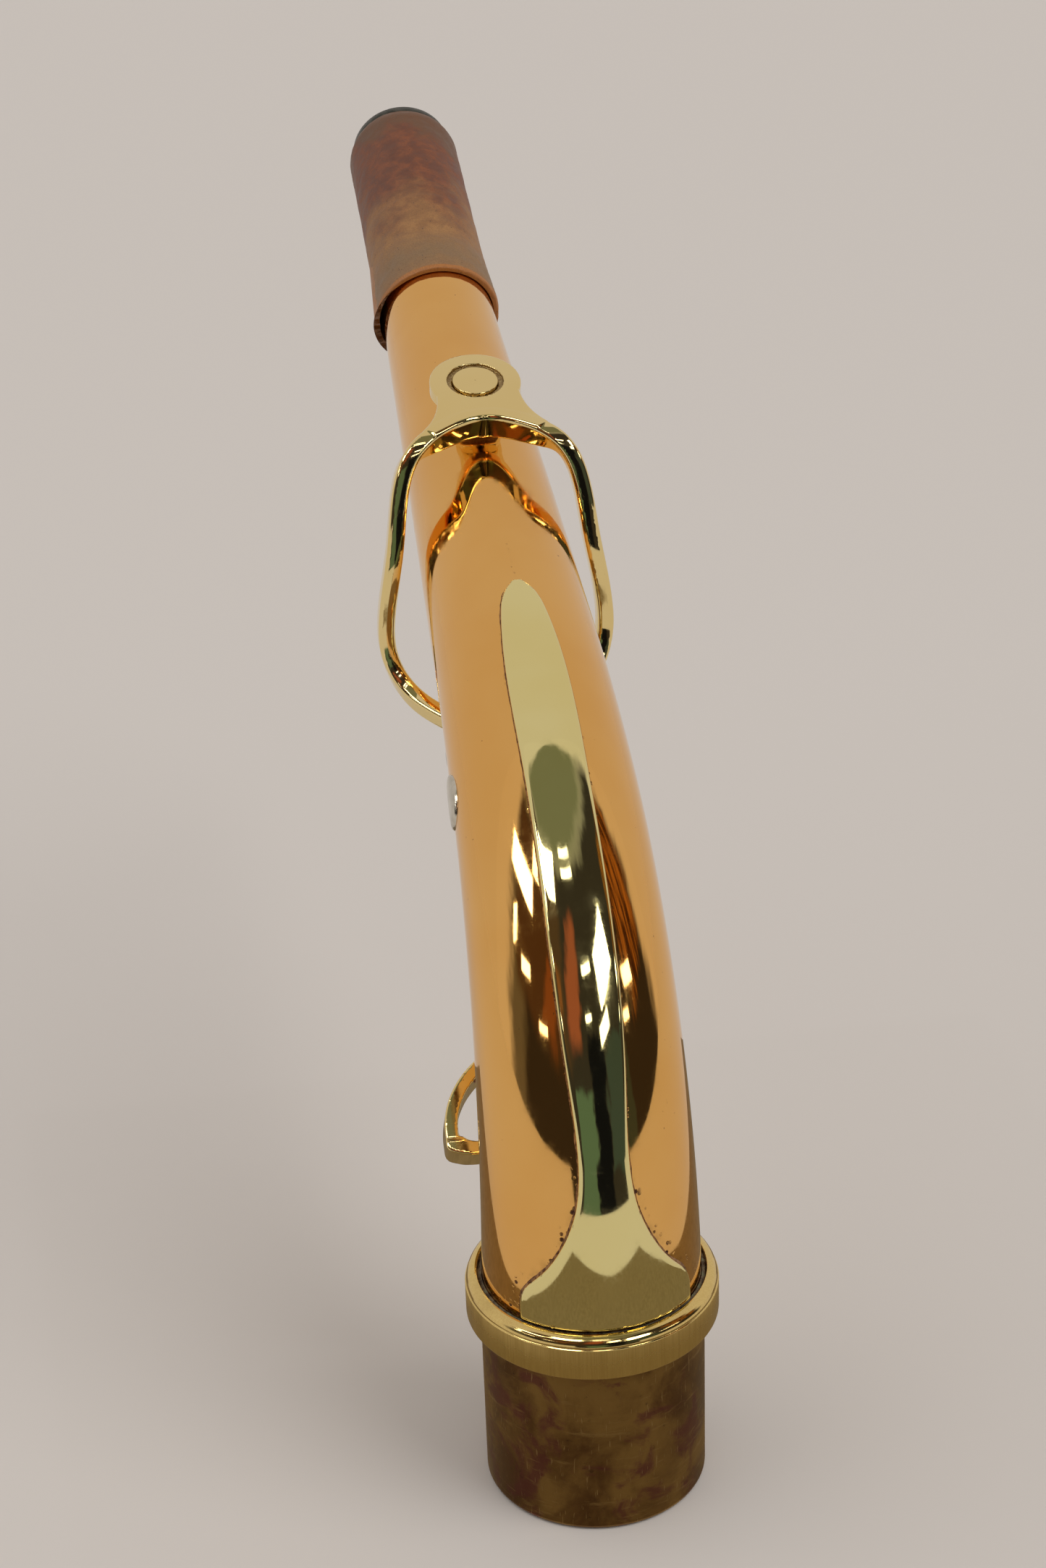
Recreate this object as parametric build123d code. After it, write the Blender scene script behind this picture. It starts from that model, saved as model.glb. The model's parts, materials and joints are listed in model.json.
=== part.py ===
from build123d import *
import math
import os

# Tenor saxophone neck with an underslung octave key.
# Z runs up the tenon's axis from its open end, Y towards the mouthpiece.
# The neck bends in the plane X = 0. All sizes are in millimetres.

TENON_R = 13.75
TENON_BORE_R = 12.70
TENON_NECK_R = 13.45
TENON_TOP = 24.6
COLLAR_LOW = 23.4
COLLAR_HIGH = 28.9
COLLAR_R = 15.5

TUBE_START_Z = 28.9
TUBE_R_LOW = 13.40
TUBE_R_END = 6.80
TUBE_LENGTH = 205.0
TUBE_WALL = 0.70
# each bend of the centreline: length along it, then the angle it turns
BENDS = [(10, 7.2), (52, 50.0), (20, 9.8), (60, 3.2), (16, -3.6), (47, 0.0)]

STRIP_THICK = 0.7
# spine strip: distance up the neck and half its width over the tube
STRIP_SHAPE = [(0.6, 11.5), (3.0, 11.3), (6.0, 8.5), (9.6, 5.5), (13.2, 3.75), (17.0, 3.1)]
STRIP_SHAPE += [(26.0, 3.5), (41.0, 4.0), (56.0, 3.95), (70.0, 3.9), (76.0, 3.45)]
STRIP_SHAPE += [(80.2, 2.85), (83.2, 1.95), (84.7, 0.9)]

CORK_START = 158.8
CORK_END = 203.4
CORK_RIM_R = 9.35
CORK_R = 8.70
MOUTH_RING_R = 7.9

PAD_S = 121.6
PLATE_TOP = 14.95
PLATE_THICK = 2.0
PLATE_R = 6.2
SPIGOT_R = 3.1
GROOVE_R = 3.8
GROOVE_DEEP = 0.45
PAD_R = 4.45
PIP_R = 2.0
PIP_BORE_R = 1.1
PIP_HEIGHT = 1.25

HINGE_BACK = 40.0
HINGE_LOW = 16.5
ROD_R = 1.2
BARREL_R = 2.4
BARREL_HALF = 5.2
POST_X = 7.0
POST_R = 1.5
POST_HEAD_R = 2.3

RING_Y = 16.5
RING_Z = 38.0
RING_TILT = 40.0
RING_HALF_WIDE = 15.4
RING_DEEP = 13.4
RING_STRAP = 1.7
RING_TALL = 5.0
RING_TOP = 1.3

CUP_R = 5.2
PAD_FACE = 10.76
SCREW_BACK = 33.9
SCREW_R = 0.7
SPRING_THICK = 0.36
STOP_GAP = 0.78

GAP = 0.03

os.makedirs("parts", exist_ok=True)


def centreline(s):
    """Y, Z and the angle from vertical at distance s along the tube."""
    y, z, turn = 0.0, TUBE_START_Z, 0.0
    if s <= 0:
        return y, z + s, turn
    for number, (length, angle) in enumerate(BENDS):
        run = min(s, length)
        if number == len(BENDS) - 1:
            run = s
        bend = math.radians(angle) * run / length
        chord = run
        if abs(bend) > 1e-6:
            chord = 2 * run / bend * math.sin(bend / 2)
        y += chord * math.sin(turn + bend / 2)
        z += chord * math.cos(turn + bend / 2)
        turn += bend
        s -= run
        if s <= 1e-9:
            break
    return y, z, turn


def tube_r(s):
    return TUBE_R_LOW + (TUBE_R_END - TUBE_R_LOW) * s / TUBE_LENGTH


def ring_plane(s):
    y, z, turn = centreline(s)
    return Plane(origin=(0, y, z), x_dir=(1, 0, 0), z_dir=(0, math.sin(turn), math.cos(turn)))


def at(s, out, x=0.0):
    """A point beside the centreline; out is towards the outside of the bend."""
    y, z, turn = centreline(s)
    return Vector(x, y - out * math.cos(turn), z + out * math.sin(turn))


STATIONS = [-8, -4, 0, 6, 12, 20, 30, 40, 50, 60, 70, 80, 92, 106, 122, 138, 150, 160]
STATIONS += [170, 182, 194, 209]


def neck_solid(extra):
    """The tube's outer shape grown by extra, running on past both its ends."""
    faces = []
    for s in STATIONS:
        radius = tube_r(max(s, 0)) + extra
        faces.append(ring_plane(s) * Circle(radius))
    return loft(faces)


def past_end(s, deep):
    """A slab covering the tube beyond s, for trimming it square."""
    return ring_plane(s) * Cylinder(30, deep, align=(Align.CENTER, Align.CENTER, Align.MIN))


bore = neck_solid(-TUBE_WALL)
clear = neck_solid(GAP)
outer = neck_solid(0.0) - past_end(TUBE_LENGTH, 10)
outer -= Pos(0, 0, TENON_TOP + GAP - 10) * Cylinder(30, 20)

# frame beside the straight part of the tube at the pad: x across, y back, z out
pad_y, pad_z, pad_turn = centreline(PAD_S)
BACK = Vector(0, -math.sin(pad_turn), -math.cos(pad_turn))
OUT = Vector(0, -math.cos(pad_turn), math.sin(pad_turn))
key_plane = Plane(origin=(0, pad_y, pad_z), x_dir=(-1, 0, 0), z_dir=tuple(OUT))


def key(x, back, out):
    """A world point from the pad frame: across, back down the neck, out."""
    return Vector(0, pad_y, pad_z) + Vector(x, 0, 0) + BACK * back + OUT * out


def out_cylinder(radius, low, high, back=0.0, x=0.0):
    base = Plane(origin=tuple(key(x, back, low)), x_dir=(1, 0, 0), z_dir=tuple(OUT))
    return base * Cylinder(radius, high - low, align=(Align.CENTER, Align.CENTER, Align.MIN))


def across_cylinder(radius, x_low, x_high, y, z):
    base = Plane(origin=(x_low, y, z), x_dir=(0, 1, 0), z_dir=(1, 0, 0))
    return base * Cylinder(radius, x_high - x_low, align=(Align.CENTER, Align.CENTER, Align.MIN))


def turned(profile):
    """Spin an outline of (radius, height) points about the tenon's axis."""
    face = Plane.XZ * Polygon(*profile, align=None)
    return revolve(face, Axis.Z)


def along_tube(profile, s):
    """Spin an outline of (radius, distance) points about the tube's axis at s."""
    face = Plane.XZ * Polygon(*profile, align=None)
    return ring_plane(s) * revolve(face, Axis.Z)


# hinge line, under the tube
hinge = key(0, HINGE_BACK, -HINGE_LOW)
HINGE_Y = hinge.Y
HINGE_Z = hinge.Z

parts = {}

# tenon: plain sleeve, slightly broken at its lower edge
parts["tenon"] = turned([
    (TENON_BORE_R, 0.3), (TENON_BORE_R + 0.3, 0), (TENON_R - 0.3, 0), (TENON_R, 0.3),
    (TENON_R, COLLAR_LOW - 0.02), (TENON_NECK_R, COLLAR_LOW + 0.13), (TENON_NECK_R, TENON_TOP),
    (TENON_BORE_R, TENON_TOP),
])

# collar: brushed band with a rounded top, counterbored for the tenon and tube
collar_face = make_face([
    Line((TENON_R + GAP, COLLAR_LOW), (COLLAR_R - 0.25, COLLAR_LOW)),
    Line((COLLAR_R - 0.25, COLLAR_LOW), (COLLAR_R, COLLAR_LOW + 0.25)),
    Line((COLLAR_R, COLLAR_LOW + 0.25), (COLLAR_R, COLLAR_HIGH - 1.2)),
    ThreePointArc((COLLAR_R, COLLAR_HIGH - 1.2), (COLLAR_R - 0.3, COLLAR_HIGH - 0.3),
                  (COLLAR_R - 0.95, COLLAR_HIGH)),
    Line((COLLAR_R - 0.95, COLLAR_HIGH), (TUBE_R_LOW + 0.45, COLLAR_HIGH - 1.0)),
    Line((TUBE_R_LOW + 0.45, COLLAR_HIGH - 1.0), (TUBE_R_LOW + GAP, COLLAR_HIGH - 1.5)),
    Line((TUBE_R_LOW + GAP, COLLAR_HIGH - 1.5), (TUBE_R_LOW + GAP, TENON_TOP + GAP)),
    Line((TUBE_R_LOW + GAP, TENON_TOP + GAP), (TENON_NECK_R + GAP, TENON_TOP + GAP)),
    Line((TENON_NECK_R + GAP, TENON_TOP + GAP), (TENON_NECK_R + GAP, COLLAR_LOW + 0.15)),
    Line((TENON_NECK_R + GAP, COLLAR_LOW + 0.15), (TENON_R + GAP, COLLAR_LOW)),
])
parts["collar"] = revolve(Plane.XZ * collar_face, Axis.Z)

# solder left in the groove between collar and tube
parts["solder_ring"] = turned([
    (TUBE_R_LOW + 0.08, COLLAR_HIGH - 1.35), (TUBE_R_LOW + 0.5, COLLAR_HIGH - 0.85),
    (TUBE_R_LOW + 0.7, COLLAR_HIGH - 0.5), (TUBE_R_LOW + 0.08, COLLAR_HIGH - 0.25),
])

# neck tube: lofted cone, bored through, with a hole for the octave vent
tube = outer - bore
tube -= out_cylinder(PIP_R + GAP, tube_r(PAD_S) - 4, tube_r(PAD_S) + 3)
parts["neck_tube"] = tube


def strip_section(s, half_width, low, high):
    """Curved band over the outside of the tube at s, between two radii."""
    half = half_width / (tube_r(s) + 0.35)
    corner = []
    for radius in (low, high):
        side = radius * math.sin(half), radius * math.cos(half)
        corner.append((side, radius))
    (inner_side, inner_top), (outer_side, outer_top) = corner
    arcs = [
        ThreePointArc((-inner_side[0], inner_side[1]), (0, inner_top), inner_side),
        Line(inner_side, outer_side),
        ThreePointArc(outer_side, (0, outer_top), (-outer_side[0], outer_side[1])),
        Line((-outer_side[0], outer_side[1]), (-inner_side[0], inner_side[1])),
    ]
    y, z, turn = centreline(s)
    along = (0, -math.sin(turn), -math.cos(turn))
    return Plane(origin=(0, y, z), x_dir=(1, 0, 0), z_dir=along) * make_face(arcs)


# spine strip: fishtail at the collar, narrow waist, long pointed tongue
sections = []
for s, half_width in STRIP_SHAPE:
    radius = tube_r(s)
    sections.append(strip_section(s, half_width, radius - 0.5, radius + STRIP_THICK))
parts["spine_strip"] = loft(sections) - clear

# cork sleeve with a worn lower rim, straight where the mouthpiece grips
cork = along_tube([
    (5.0, 0), (CORK_RIM_R - 0.35, 0), (CORK_RIM_R, 0.4), (CORK_R, 13.0),
    (CORK_R, CORK_END - CORK_START - 1.6), (CORK_R - 0.8, CORK_END - CORK_START),
    (5.0, CORK_END - CORK_START),
], CORK_START)
parts["mouth_cork"] = cork - clear

# small ferrule closing the tube's rim
ferrule = along_tube([
    (5.0, 0), (MOUTH_RING_R - 0.1, 0), (MOUTH_RING_R, 0.3), (MOUTH_RING_R - 0.2, 1.5),
    (MOUTH_RING_R - 0.6, 1.9), (5.0, 1.9),
], CORK_END + 0.05)
parts["mouth_ring"] = ferrule - clear

# octave vent: flanged pipe soldered through the tube's wall
surface = tube_r(PAD_S)
flange = out_cylinder(3.9, surface - 1.5, surface + 0.55) - clear
pipe = out_cylinder(PIP_R, surface - 2.2, surface + PIP_HEIGHT - 0.2)
rim = Plane(origin=tuple(key(0, 0, surface + PIP_HEIGHT - 0.2)), x_dir=(1, 0, 0), z_dir=tuple(OUT))
lip = rim * Cone(PIP_R, PIP_R - 0.3, 0.2, align=(Align.CENTER, Align.CENTER, Align.MIN))
vent = flange + pipe + lip - out_cylinder(PIP_BORE_R, surface - 5, surface + 5)
parts["octave_vent"] = vent

# saddle under the tube carrying both posts
band = neck_solid(1.0) - clear
box_plane = Plane(origin=tuple(key(0, HINGE_BACK, 0)), x_dir=(1, 0, 0), z_dir=tuple(OUT))
saddle_box = box_plane * Pos(0, 0, -12) * Box(18.4, 7.6, 14)
parts["post_saddle"] = band & saddle_box

# two posts with rounded heads, bored for the rod
saddle_skin = neck_solid(1.0 + GAP)
for name, side in (("post_left", -1), ("post_right", 1)):
    shank = out_cylinder(POST_R, -HINGE_LOW, -5.0, back=HINGE_BACK, x=side * POST_X)
    foot = out_cylinder(POST_R + 0.5, -HINGE_LOW + 4.6, -5.0, back=HINGE_BACK, x=side * POST_X)
    head = Pos(side * POST_X, HINGE_Y, HINGE_Z) * Sphere(POST_HEAD_R)
    trim = Pos(side * POST_X, HINGE_Y, HINGE_Z) * Box(3.2, 8, 8)
    post = shank + foot + (head & trim) - saddle_skin
    post -= across_cylinder(ROD_R + 0.02, side * POST_X - 4, side * POST_X + 4, HINGE_Y, HINGE_Z)
    parts[name] = post

# steel rod with a slotted head, through both posts and the barrel
rod = across_cylinder(ROD_R, -POST_X - 2.2, POST_X + 2.4, HINGE_Y, HINGE_Z)
rod += across_cylinder(ROD_R + 0.45, POST_X + 1.65, POST_X + 2.4, HINGE_Y, HINGE_Z)
rod -= Pos(POST_X + 2.4, HINGE_Y, HINGE_Z) * Box(0.9, 0.5, 6)
parts["hinge_rod"] = rod

# slide plate where the flat spring's tip bears
slide_plane = Plane(origin=tuple(key(0, 21.5, 0)), x_dir=(1, 0, 0), z_dir=tuple(OUT))
slide = (neck_solid(0.5) - clear) & (slide_plane * Pos(0, 0, -10) * Box(5, 7, 8))
parts["spring_slide"] = slide

# plain oval plaque on the left of the tube, raised a little
PLAQUE_S = 60.0
y, z, turn = centreline(PLAQUE_S)
plaque_plane = Plane(origin=(0, y, z), x_dir=(0, math.sin(turn), math.cos(turn)), z_dir=(-1, 0, 0))
plaque_shape = extrude(plaque_plane * Ellipse(5.0, 3.4), 20)
parts["plain_plaque"] = (neck_solid(0.55) - clear) & plaque_shape

# octave key, upper part: round pad plate running into a loop round the tube
plan = Plane(origin=(0, pad_y, pad_z), x_dir=(1, 0, 0), z_dir=tuple(-OUT))

# right half of the loop: middle of the strap's front face, as across, back, out
LOOP_LINE = [(0, 7.3, 14.95), (4.3, 8.55, 14.95), (7.4, 10.8, 14.85), (9.6, 12.8, 13.9)]
LOOP_LINE += [(11.2, 14.5, 11.8), (12.15, 16.1, 9.0), (12.7, 17.7, 6.0), (13.2, 19.3, 2.5)]
LOOP_LINE += [(13.75, 20.5, -0.5), (14.4, 21.6, -4.0), (14.9, 22.6, -7.5), (15.0, 23.6, -10.5)]
LOOP_LINE += [(14.35, 25.0, -13.1), (12.7, 27.2, -14.9), (10.0, 30.2, -15.6)]
LOOP_LINE += [(6.5, 33.5, -15.8), (3.0, 36.1, -15.8), (0, 36.9, -15.8)]
LOOP_WIDE = 2.1
LOOP_DEEP = [3.6, 3.55, 3.5, 3.4, 3.3, 3.15, 3.0, 2.95, 2.9, 2.85, 2.8, 2.75, 2.7, 2.7, 2.65]
LOOP_DEEP += [2.6, 2.6, 2.6]


def loop_corners(number):
    """The four corners of the strap's section at one point of its line."""
    last = len(LOOP_LINE) - 1
    here = Vector(*LOOP_LINE[number])
    before = LOOP_LINE[number - 1] if number > 0 else (-LOOP_LINE[1][0],) + LOOP_LINE[1][1:]
    after = (-LOOP_LINE[last - 1][0],) + LOOP_LINE[last - 1][1:]
    if number < last:
        after = LOOP_LINE[number + 1]
    first = here - Vector(*before)
    second = Vector(*after) - here
    tangent = (first * second.length / first.length + second * first.length / second.length).normalized()
    face = Vector(0, -tangent.Z, tangent.Y) + Vector(0, 0, 0.05)
    face = (face - tangent * face.dot(tangent)).normalized()
    side = tangent.cross(face).normalized() * (LOOP_WIDE / 2)
    inward = face * LOOP_DEEP[number]
    return [here + side, here - side, here - side - inward, here + side - inward]


loop_faces = []
for number in range(len(LOOP_LINE)):
    corners = [key(*tuple(corner)) for corner in loop_corners(number)]
    edges = [Line(corners[i], corners[(i + 1) % 4]) for i in range(4)]
    loop_faces.append(make_face(edges))
right_loop = loft(loop_faces)
loop = right_loop + mirror(right_loop, Plane.YZ)

side_plane = Plane(origin=(0, pad_y, pad_z), x_dir=tuple(BACK), z_dir=(1, 0, 0))
side = side_plane.to_local_coords(key(0, 0, 1))
sign = 1.0 if side.Y > 0 else -1.0


def side_points(points):
    return [(b, sign * o) for b, o in points]


# plate: round end, waist and flare running into the arch
flare = [(5.75, 4.2), (6.3, 6.6), (7.4, 8.9)]
plate_edges = [
    ThreePointArc((5.6, 2.66), (0, -PLATE_R), (-5.6, 2.66)),
    Spline((5.6, 2.66), *flare, (8.3, 10.2)),
    Line((8.3, 10.2), (6.9, 11.3)),
    Spline((6.9, 11.3), (3.85, 9.3), (0, 8.2), (-3.85, 9.3), (-6.9, 11.3)),
    Line((-6.9, 11.3), (-8.3, 10.2)),
    Spline((-8.3, 10.2), *[(-x, b) for x, b in reversed(flare)], (-5.6, 2.66)),
]
plate_face = make_face(plate_edges)
if plan.to_local_coords(key(0, 1, 0)).Y < 0:
    raise SystemExit("plan sketch plane is reversed")
plate_low = Plane(origin=tuple(key(0, 0, PLATE_TOP)), x_dir=(1, 0, 0), z_dir=tuple(-OUT))
plate = extrude(plate_low * plate_face, PLATE_THICK)
loop += plate
loop -= out_cylinder(GROOVE_R, PLATE_TOP - GROOVE_DEEP, PLATE_TOP + 1)
loop -= out_cylinder(SPIGOT_R + GAP, PLATE_TOP - 5, PLATE_TOP + 1)

# tongue inside the loop's lower end, for the spring and the stop corks
tongue_plane = Plane(origin=tuple(key(0, 33.6, -16.6)), x_dir=(1, 0, 0), z_dir=tuple(OUT))
tongue = tongue_plane * Box(9.6, 8.4, 1.6)
loop += tongue
barrel_hole = across_cylinder(BARREL_R + GAP, -20, 20, HINGE_Y, HINGE_Z)
loop -= barrel_hole
parts["key_loop"] = loop

# hole in the tongue for the spring screw
screw_hole = out_cylinder(SCREW_R + GAP, -20, -10, back=SCREW_BACK)
parts["key_loop"] = parts["key_loop"] - screw_hole

# barrel turning on the rod
barrel = across_cylinder(BARREL_R, -BARREL_HALF, BARREL_HALF, HINGE_Y, HINGE_Z)
barrel -= across_cylinder(ROD_R + 0.05, -20, 20, HINGE_Y, HINGE_Z)
parts["hinge_barrel"] = barrel

# pad cup: spigot through the plate, shallow cup below it
plate_low_out = PLATE_TOP - PLATE_THICK
cup = out_cylinder(CUP_R, PAD_FACE + 0.5, plate_low_out - GAP)
cup -= out_cylinder(PAD_R + 0.1, PAD_FACE - 1, plate_low_out - 0.6)
cup += out_cylinder(SPIGOT_R, plate_low_out - 0.5, PLATE_TOP)
parts["pad_cup"] = cup

# pad: card, felt and leather face, closing on the vent's lip
card_low = plate_low_out - 0.6 - GAP - 0.35
felt_low = PAD_FACE + 0.3
parts["pad_card"] = out_cylinder(PAD_R - 0.05, card_low, card_low + 0.35)
parts["pad_felt"] = out_cylinder(PAD_R - 0.05, felt_low + GAP, card_low - GAP)
leather = out_cylinder(PAD_R + 0.05, PAD_FACE, card_low - 0.3)
leather -= out_cylinder(PAD_R - 0.02, felt_low, card_low + 1)
parts["pad_leather"] = leather

# lower ring: closed half-oval strap, straight bar across its near side
tilt = math.radians(RING_TILT)
ring_normal = (0, -math.sin(tilt), math.cos(tilt))
ring_frame = Plane(origin=(0, RING_Y, RING_Z), x_dir=(1, 0, 0), z_dir=ring_normal)


def half_oval(inset, base):
    """Closed outline: part of an oval above a straight base with round corners."""
    wide = RING_HALF_WIDE - inset
    deep = RING_DEEP - inset
    curve = []
    for step in range(9):
        angle = math.pi * step / 8
        curve.append((wide * math.cos(angle), 0.8 + (deep - 0.8) * math.sin(angle)))
    corner = 2.6 - inset * 0.5
    return make_face([
        Spline(*curve, tangents=[(0, 1), (0, -1)]),
        ThreePointArc((-wide, 0.8), (-wide + corner * 0.3, base + corner * 0.35),
                      (-wide + corner, base)),
        Line((-wide + corner, base), (wide - corner, base)),
        ThreePointArc((wide - corner, base), (wide - corner * 0.3, base + corner * 0.35),
                      (wide, 0.8)),
    ])


ring_low = ring_frame.offset(RING_TOP - RING_TALL)
outer_oval = half_oval(0, -2.2)
inner_oval = half_oval(RING_STRAP, -0.4)
ring = extrude(ring_low * outer_oval, RING_TALL)
ring -= extrude(ring_low * inner_oval, RING_TALL)
ring -= ring_frame * Pos(0, -1.3, RING_TOP) * Box(2 * RING_HALF_WIDE - 3.2, 2.4, 0.8)
parts["lower_ring"] = ring

# felt-lined strip inside the far side, where the body's octave pin pushes
lining = half_oval(RING_STRAP + GAP, -0.4) - half_oval(RING_STRAP + 0.9, 0.0)
lining_box = ring_frame * Pos(0, 8.5, RING_TOP - RING_TALL / 2) * Box(19, 9, RING_TALL)
parts["ring_lining"] = extrude(ring_low * lining, RING_TALL) & lining_box

# lever from the barrel down to the ring, gently bowed away from the tube
far = Vector(0, RING_Y, RING_Z) + Vector(0, math.cos(tilt), math.sin(tilt)) * (RING_DEEP - 1.3)
away = Vector(0, HINGE_Z - far.Z, far.Y - HINGE_Y).normalized()
middle = Vector(0, (far.Y + HINGE_Y) / 2, (far.Z + HINGE_Z) / 2) + away * 2.2
lever_side = Plane.YZ


def lever_line(shift):
    ends = []
    for point in (far, middle, Vector(0, HINGE_Y, HINGE_Z)):
        moved = point + away * shift
        ends.append((moved.Y, moved.Z))
    return ends


lower_line = lever_line(1.2)
upper_line = lever_line(-1.2)
lever_face = make_face([
    ThreePointArc(*lower_line),
    Line(lower_line[-1], upper_line[-1]),
    ThreePointArc(*reversed(upper_line)),
    Line(upper_line[0], lower_line[0]),
])
lever = extrude(lever_side * lever_face, 2.1, both=True)
lever = fillet(lever.edges().filter_by(lambda e: e.length > 20), 0.7)
lever -= across_cylinder(BARREL_R + GAP, -20, 20, HINGE_Y, HINGE_Z)
lever -= extrude(ring_frame.offset(-8) * half_oval(-GAP, -2.3), 16)
parts["key_lever"] = lever

# flat spring: screwed to the tongue, its tip pressing on the slide plate
tip = at(PAD_S - 21.5, -(tube_r(PAD_S - 21.5) + 0.5))
tip_out = (tip - Vector(0, pad_y, pad_z)).dot(OUT) - GAP - SPRING_THICK / 2
bed = -15.8 + GAP + SPRING_THICK / 2
spring_line = [(35.3, bed), (31.0, bed), (28.2, bed + 0.75), (25.0, tip_out - 1.2)]
spring_line += [(22.6, tip_out - 0.12), (21.5, tip_out), (20.2, tip_out - 0.25)]
upper_edge = [(b, o + SPRING_THICK / 2) for b, o in spring_line]
lower_edge = [(b, o - SPRING_THICK / 2) for b, o in spring_line]
spring_face = make_face([
    Line(*side_points(upper_edge[:2])),
    Spline(*side_points(upper_edge[1:]), tangents=[(-1, 0), (-1, -sign * 0.3)]),
    Line(*side_points([upper_edge[-1], lower_edge[-1]])),
    Spline(*side_points(list(reversed(lower_edge[1:]))), tangents=[(1, sign * 0.3), (1, 0)]),
    Line(*side_points([lower_edge[1], lower_edge[0]])),
    Line(*side_points([lower_edge[0], upper_edge[0]])),
])
spring = extrude(side_plane * spring_face, 1.5, both=True)
parts["flat_spring"] = spring - screw_hole

# cheese-headed screw holding the spring
screw = out_cylinder(SCREW_R, -17.3, bed + SPRING_THICK / 2 + GAP + 0.6, back=SCREW_BACK)
screw += out_cylinder(1.35, bed + SPRING_THICK / 2 + GAP, bed + 0.95, back=SCREW_BACK)
slot_plane = Plane(origin=tuple(key(0, SCREW_BACK, bed + 0.95)), x_dir=(1, 0, 0), z_dir=tuple(OUT))
screw -= slot_plane * Box(4, 0.35, 0.5)
parts["spring_screw"] = screw

# a pair of cork stops on the tongue, meeting the tube when the key is open
corks = []
for side in (-1, 1):
    base = Plane(origin=tuple(key(side * 3.5, 31.6, -15.8 + GAP)), x_dir=(1, 0, 0), z_dir=tuple(OUT))
    block = base * Box(2.2, 3.2, 6, align=(Align.CENTER, Align.CENTER, Align.MIN))
    corks.append(block - neck_solid(STOP_GAP))
parts["stop_corks"] = Compound(children=[corks[0].solids()[0], corks[1].solids()[0]])

for name, solid in parts.items():
    export_step(solid, f"parts/{name}.step")
    print(name, round(solid.volume, 1), len(solid.solids()))
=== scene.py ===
import json
import math
import bmesh
import bpy
import numpy as np
from mathutils import Matrix, Vector, noise


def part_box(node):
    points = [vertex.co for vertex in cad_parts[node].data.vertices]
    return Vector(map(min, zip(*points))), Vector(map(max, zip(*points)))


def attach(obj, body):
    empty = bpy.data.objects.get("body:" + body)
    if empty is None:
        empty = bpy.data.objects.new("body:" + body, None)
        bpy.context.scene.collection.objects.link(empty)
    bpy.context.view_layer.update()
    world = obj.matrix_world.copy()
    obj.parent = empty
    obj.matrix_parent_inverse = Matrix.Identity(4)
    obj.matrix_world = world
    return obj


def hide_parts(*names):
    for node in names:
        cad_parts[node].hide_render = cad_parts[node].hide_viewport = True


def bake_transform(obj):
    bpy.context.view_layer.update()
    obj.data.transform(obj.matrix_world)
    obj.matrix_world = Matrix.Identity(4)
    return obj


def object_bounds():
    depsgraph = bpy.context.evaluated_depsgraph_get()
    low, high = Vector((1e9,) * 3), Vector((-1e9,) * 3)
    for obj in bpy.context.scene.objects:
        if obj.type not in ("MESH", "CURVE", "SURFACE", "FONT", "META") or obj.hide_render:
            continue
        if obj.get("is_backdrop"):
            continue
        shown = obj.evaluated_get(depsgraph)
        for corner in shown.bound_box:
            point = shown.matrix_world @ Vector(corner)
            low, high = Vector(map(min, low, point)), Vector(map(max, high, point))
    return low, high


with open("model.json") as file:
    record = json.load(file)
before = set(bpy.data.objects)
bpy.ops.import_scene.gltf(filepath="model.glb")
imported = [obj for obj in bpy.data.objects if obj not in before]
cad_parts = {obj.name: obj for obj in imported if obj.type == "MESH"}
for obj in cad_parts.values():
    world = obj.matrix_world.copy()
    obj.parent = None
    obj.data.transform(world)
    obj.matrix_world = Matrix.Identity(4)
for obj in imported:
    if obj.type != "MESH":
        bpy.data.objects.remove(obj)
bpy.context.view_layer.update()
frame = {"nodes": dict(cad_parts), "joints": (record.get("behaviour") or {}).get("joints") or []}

# Tenor saxophone neck. Lengths are in millimetres until a mesh is made, which is in metres.
# The frame is the CAD's: Z up the tenon's axis, Y towards the mouthpiece, bend in the plane X = 0.

TUBE_START = 28.9
TUBE_LENGTH = 205.0
TUBE_R_LOW = 13.40
TUBE_R_END = 6.80
TUBE_WALL = 0.70
BENDS = [(10, 7.2), (52, 50.0), (20, 9.8), (60, 3.2), (16, -3.6), (47, 0.0)]
PAD_S = 121.6
X = np.array([1.0, 0.0, 0.0])


# ---- lines and frames

def centreline(s):
    """Y, Z and the turn from upright at distance s up the neck."""
    y, z, turn = 0.0, TUBE_START, 0.0
    if s <= 0:
        return y, z + s, turn
    for number, (length, angle) in enumerate(BENDS):
        run = s if number == len(BENDS) - 1 else min(s, length)
        bend = math.radians(angle) * run / length
        chord = run if abs(bend) < 1e-6 else 2 * run / bend * math.sin(bend / 2)
        y += chord * math.sin(turn + bend / 2)
        z += chord * math.cos(turn + bend / 2)
        turn += bend
        s -= run
        if s <= 1e-9:
            break
    return y, z, turn


def tube_r(s):
    return TUBE_R_LOW + (TUBE_R_END - TUBE_R_LOW) * np.maximum(s, 0) / TUBE_LENGTH


def bent(s):
    """Centre and outward direction of the neck at s."""
    y, z, turn = centreline(s)
    return np.array([0, y, z]), np.array([0, -math.cos(turn), math.sin(turn)])


def straight(start):
    """The same, for a piece on a straight axis that leaves the neck's line at start."""
    centre, out = bent(start)
    along = np.array([0, out[2], -out[1]])
    return lambda d: (centre + along * d, out)


def upright(z):
    return np.array([0, 0, z]), np.array([0, -1.0, 0])


PAD_CENTRE, OUT = bent(PAD_S)
BACK = np.array([0, -OUT[2], OUT[1]])


def from_key(points):
    """Points given as (across, back down the neck, out) from the pad, in the row frame."""
    p = np.asarray(points, float)
    return PAD_CENTRE + p[:, :1] * X + p[:, 1:2] * BACK + p[:, 2:3] * OUT


HINGE = np.array(frame["joints"][0]["pos_m"]) * 1000


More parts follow.
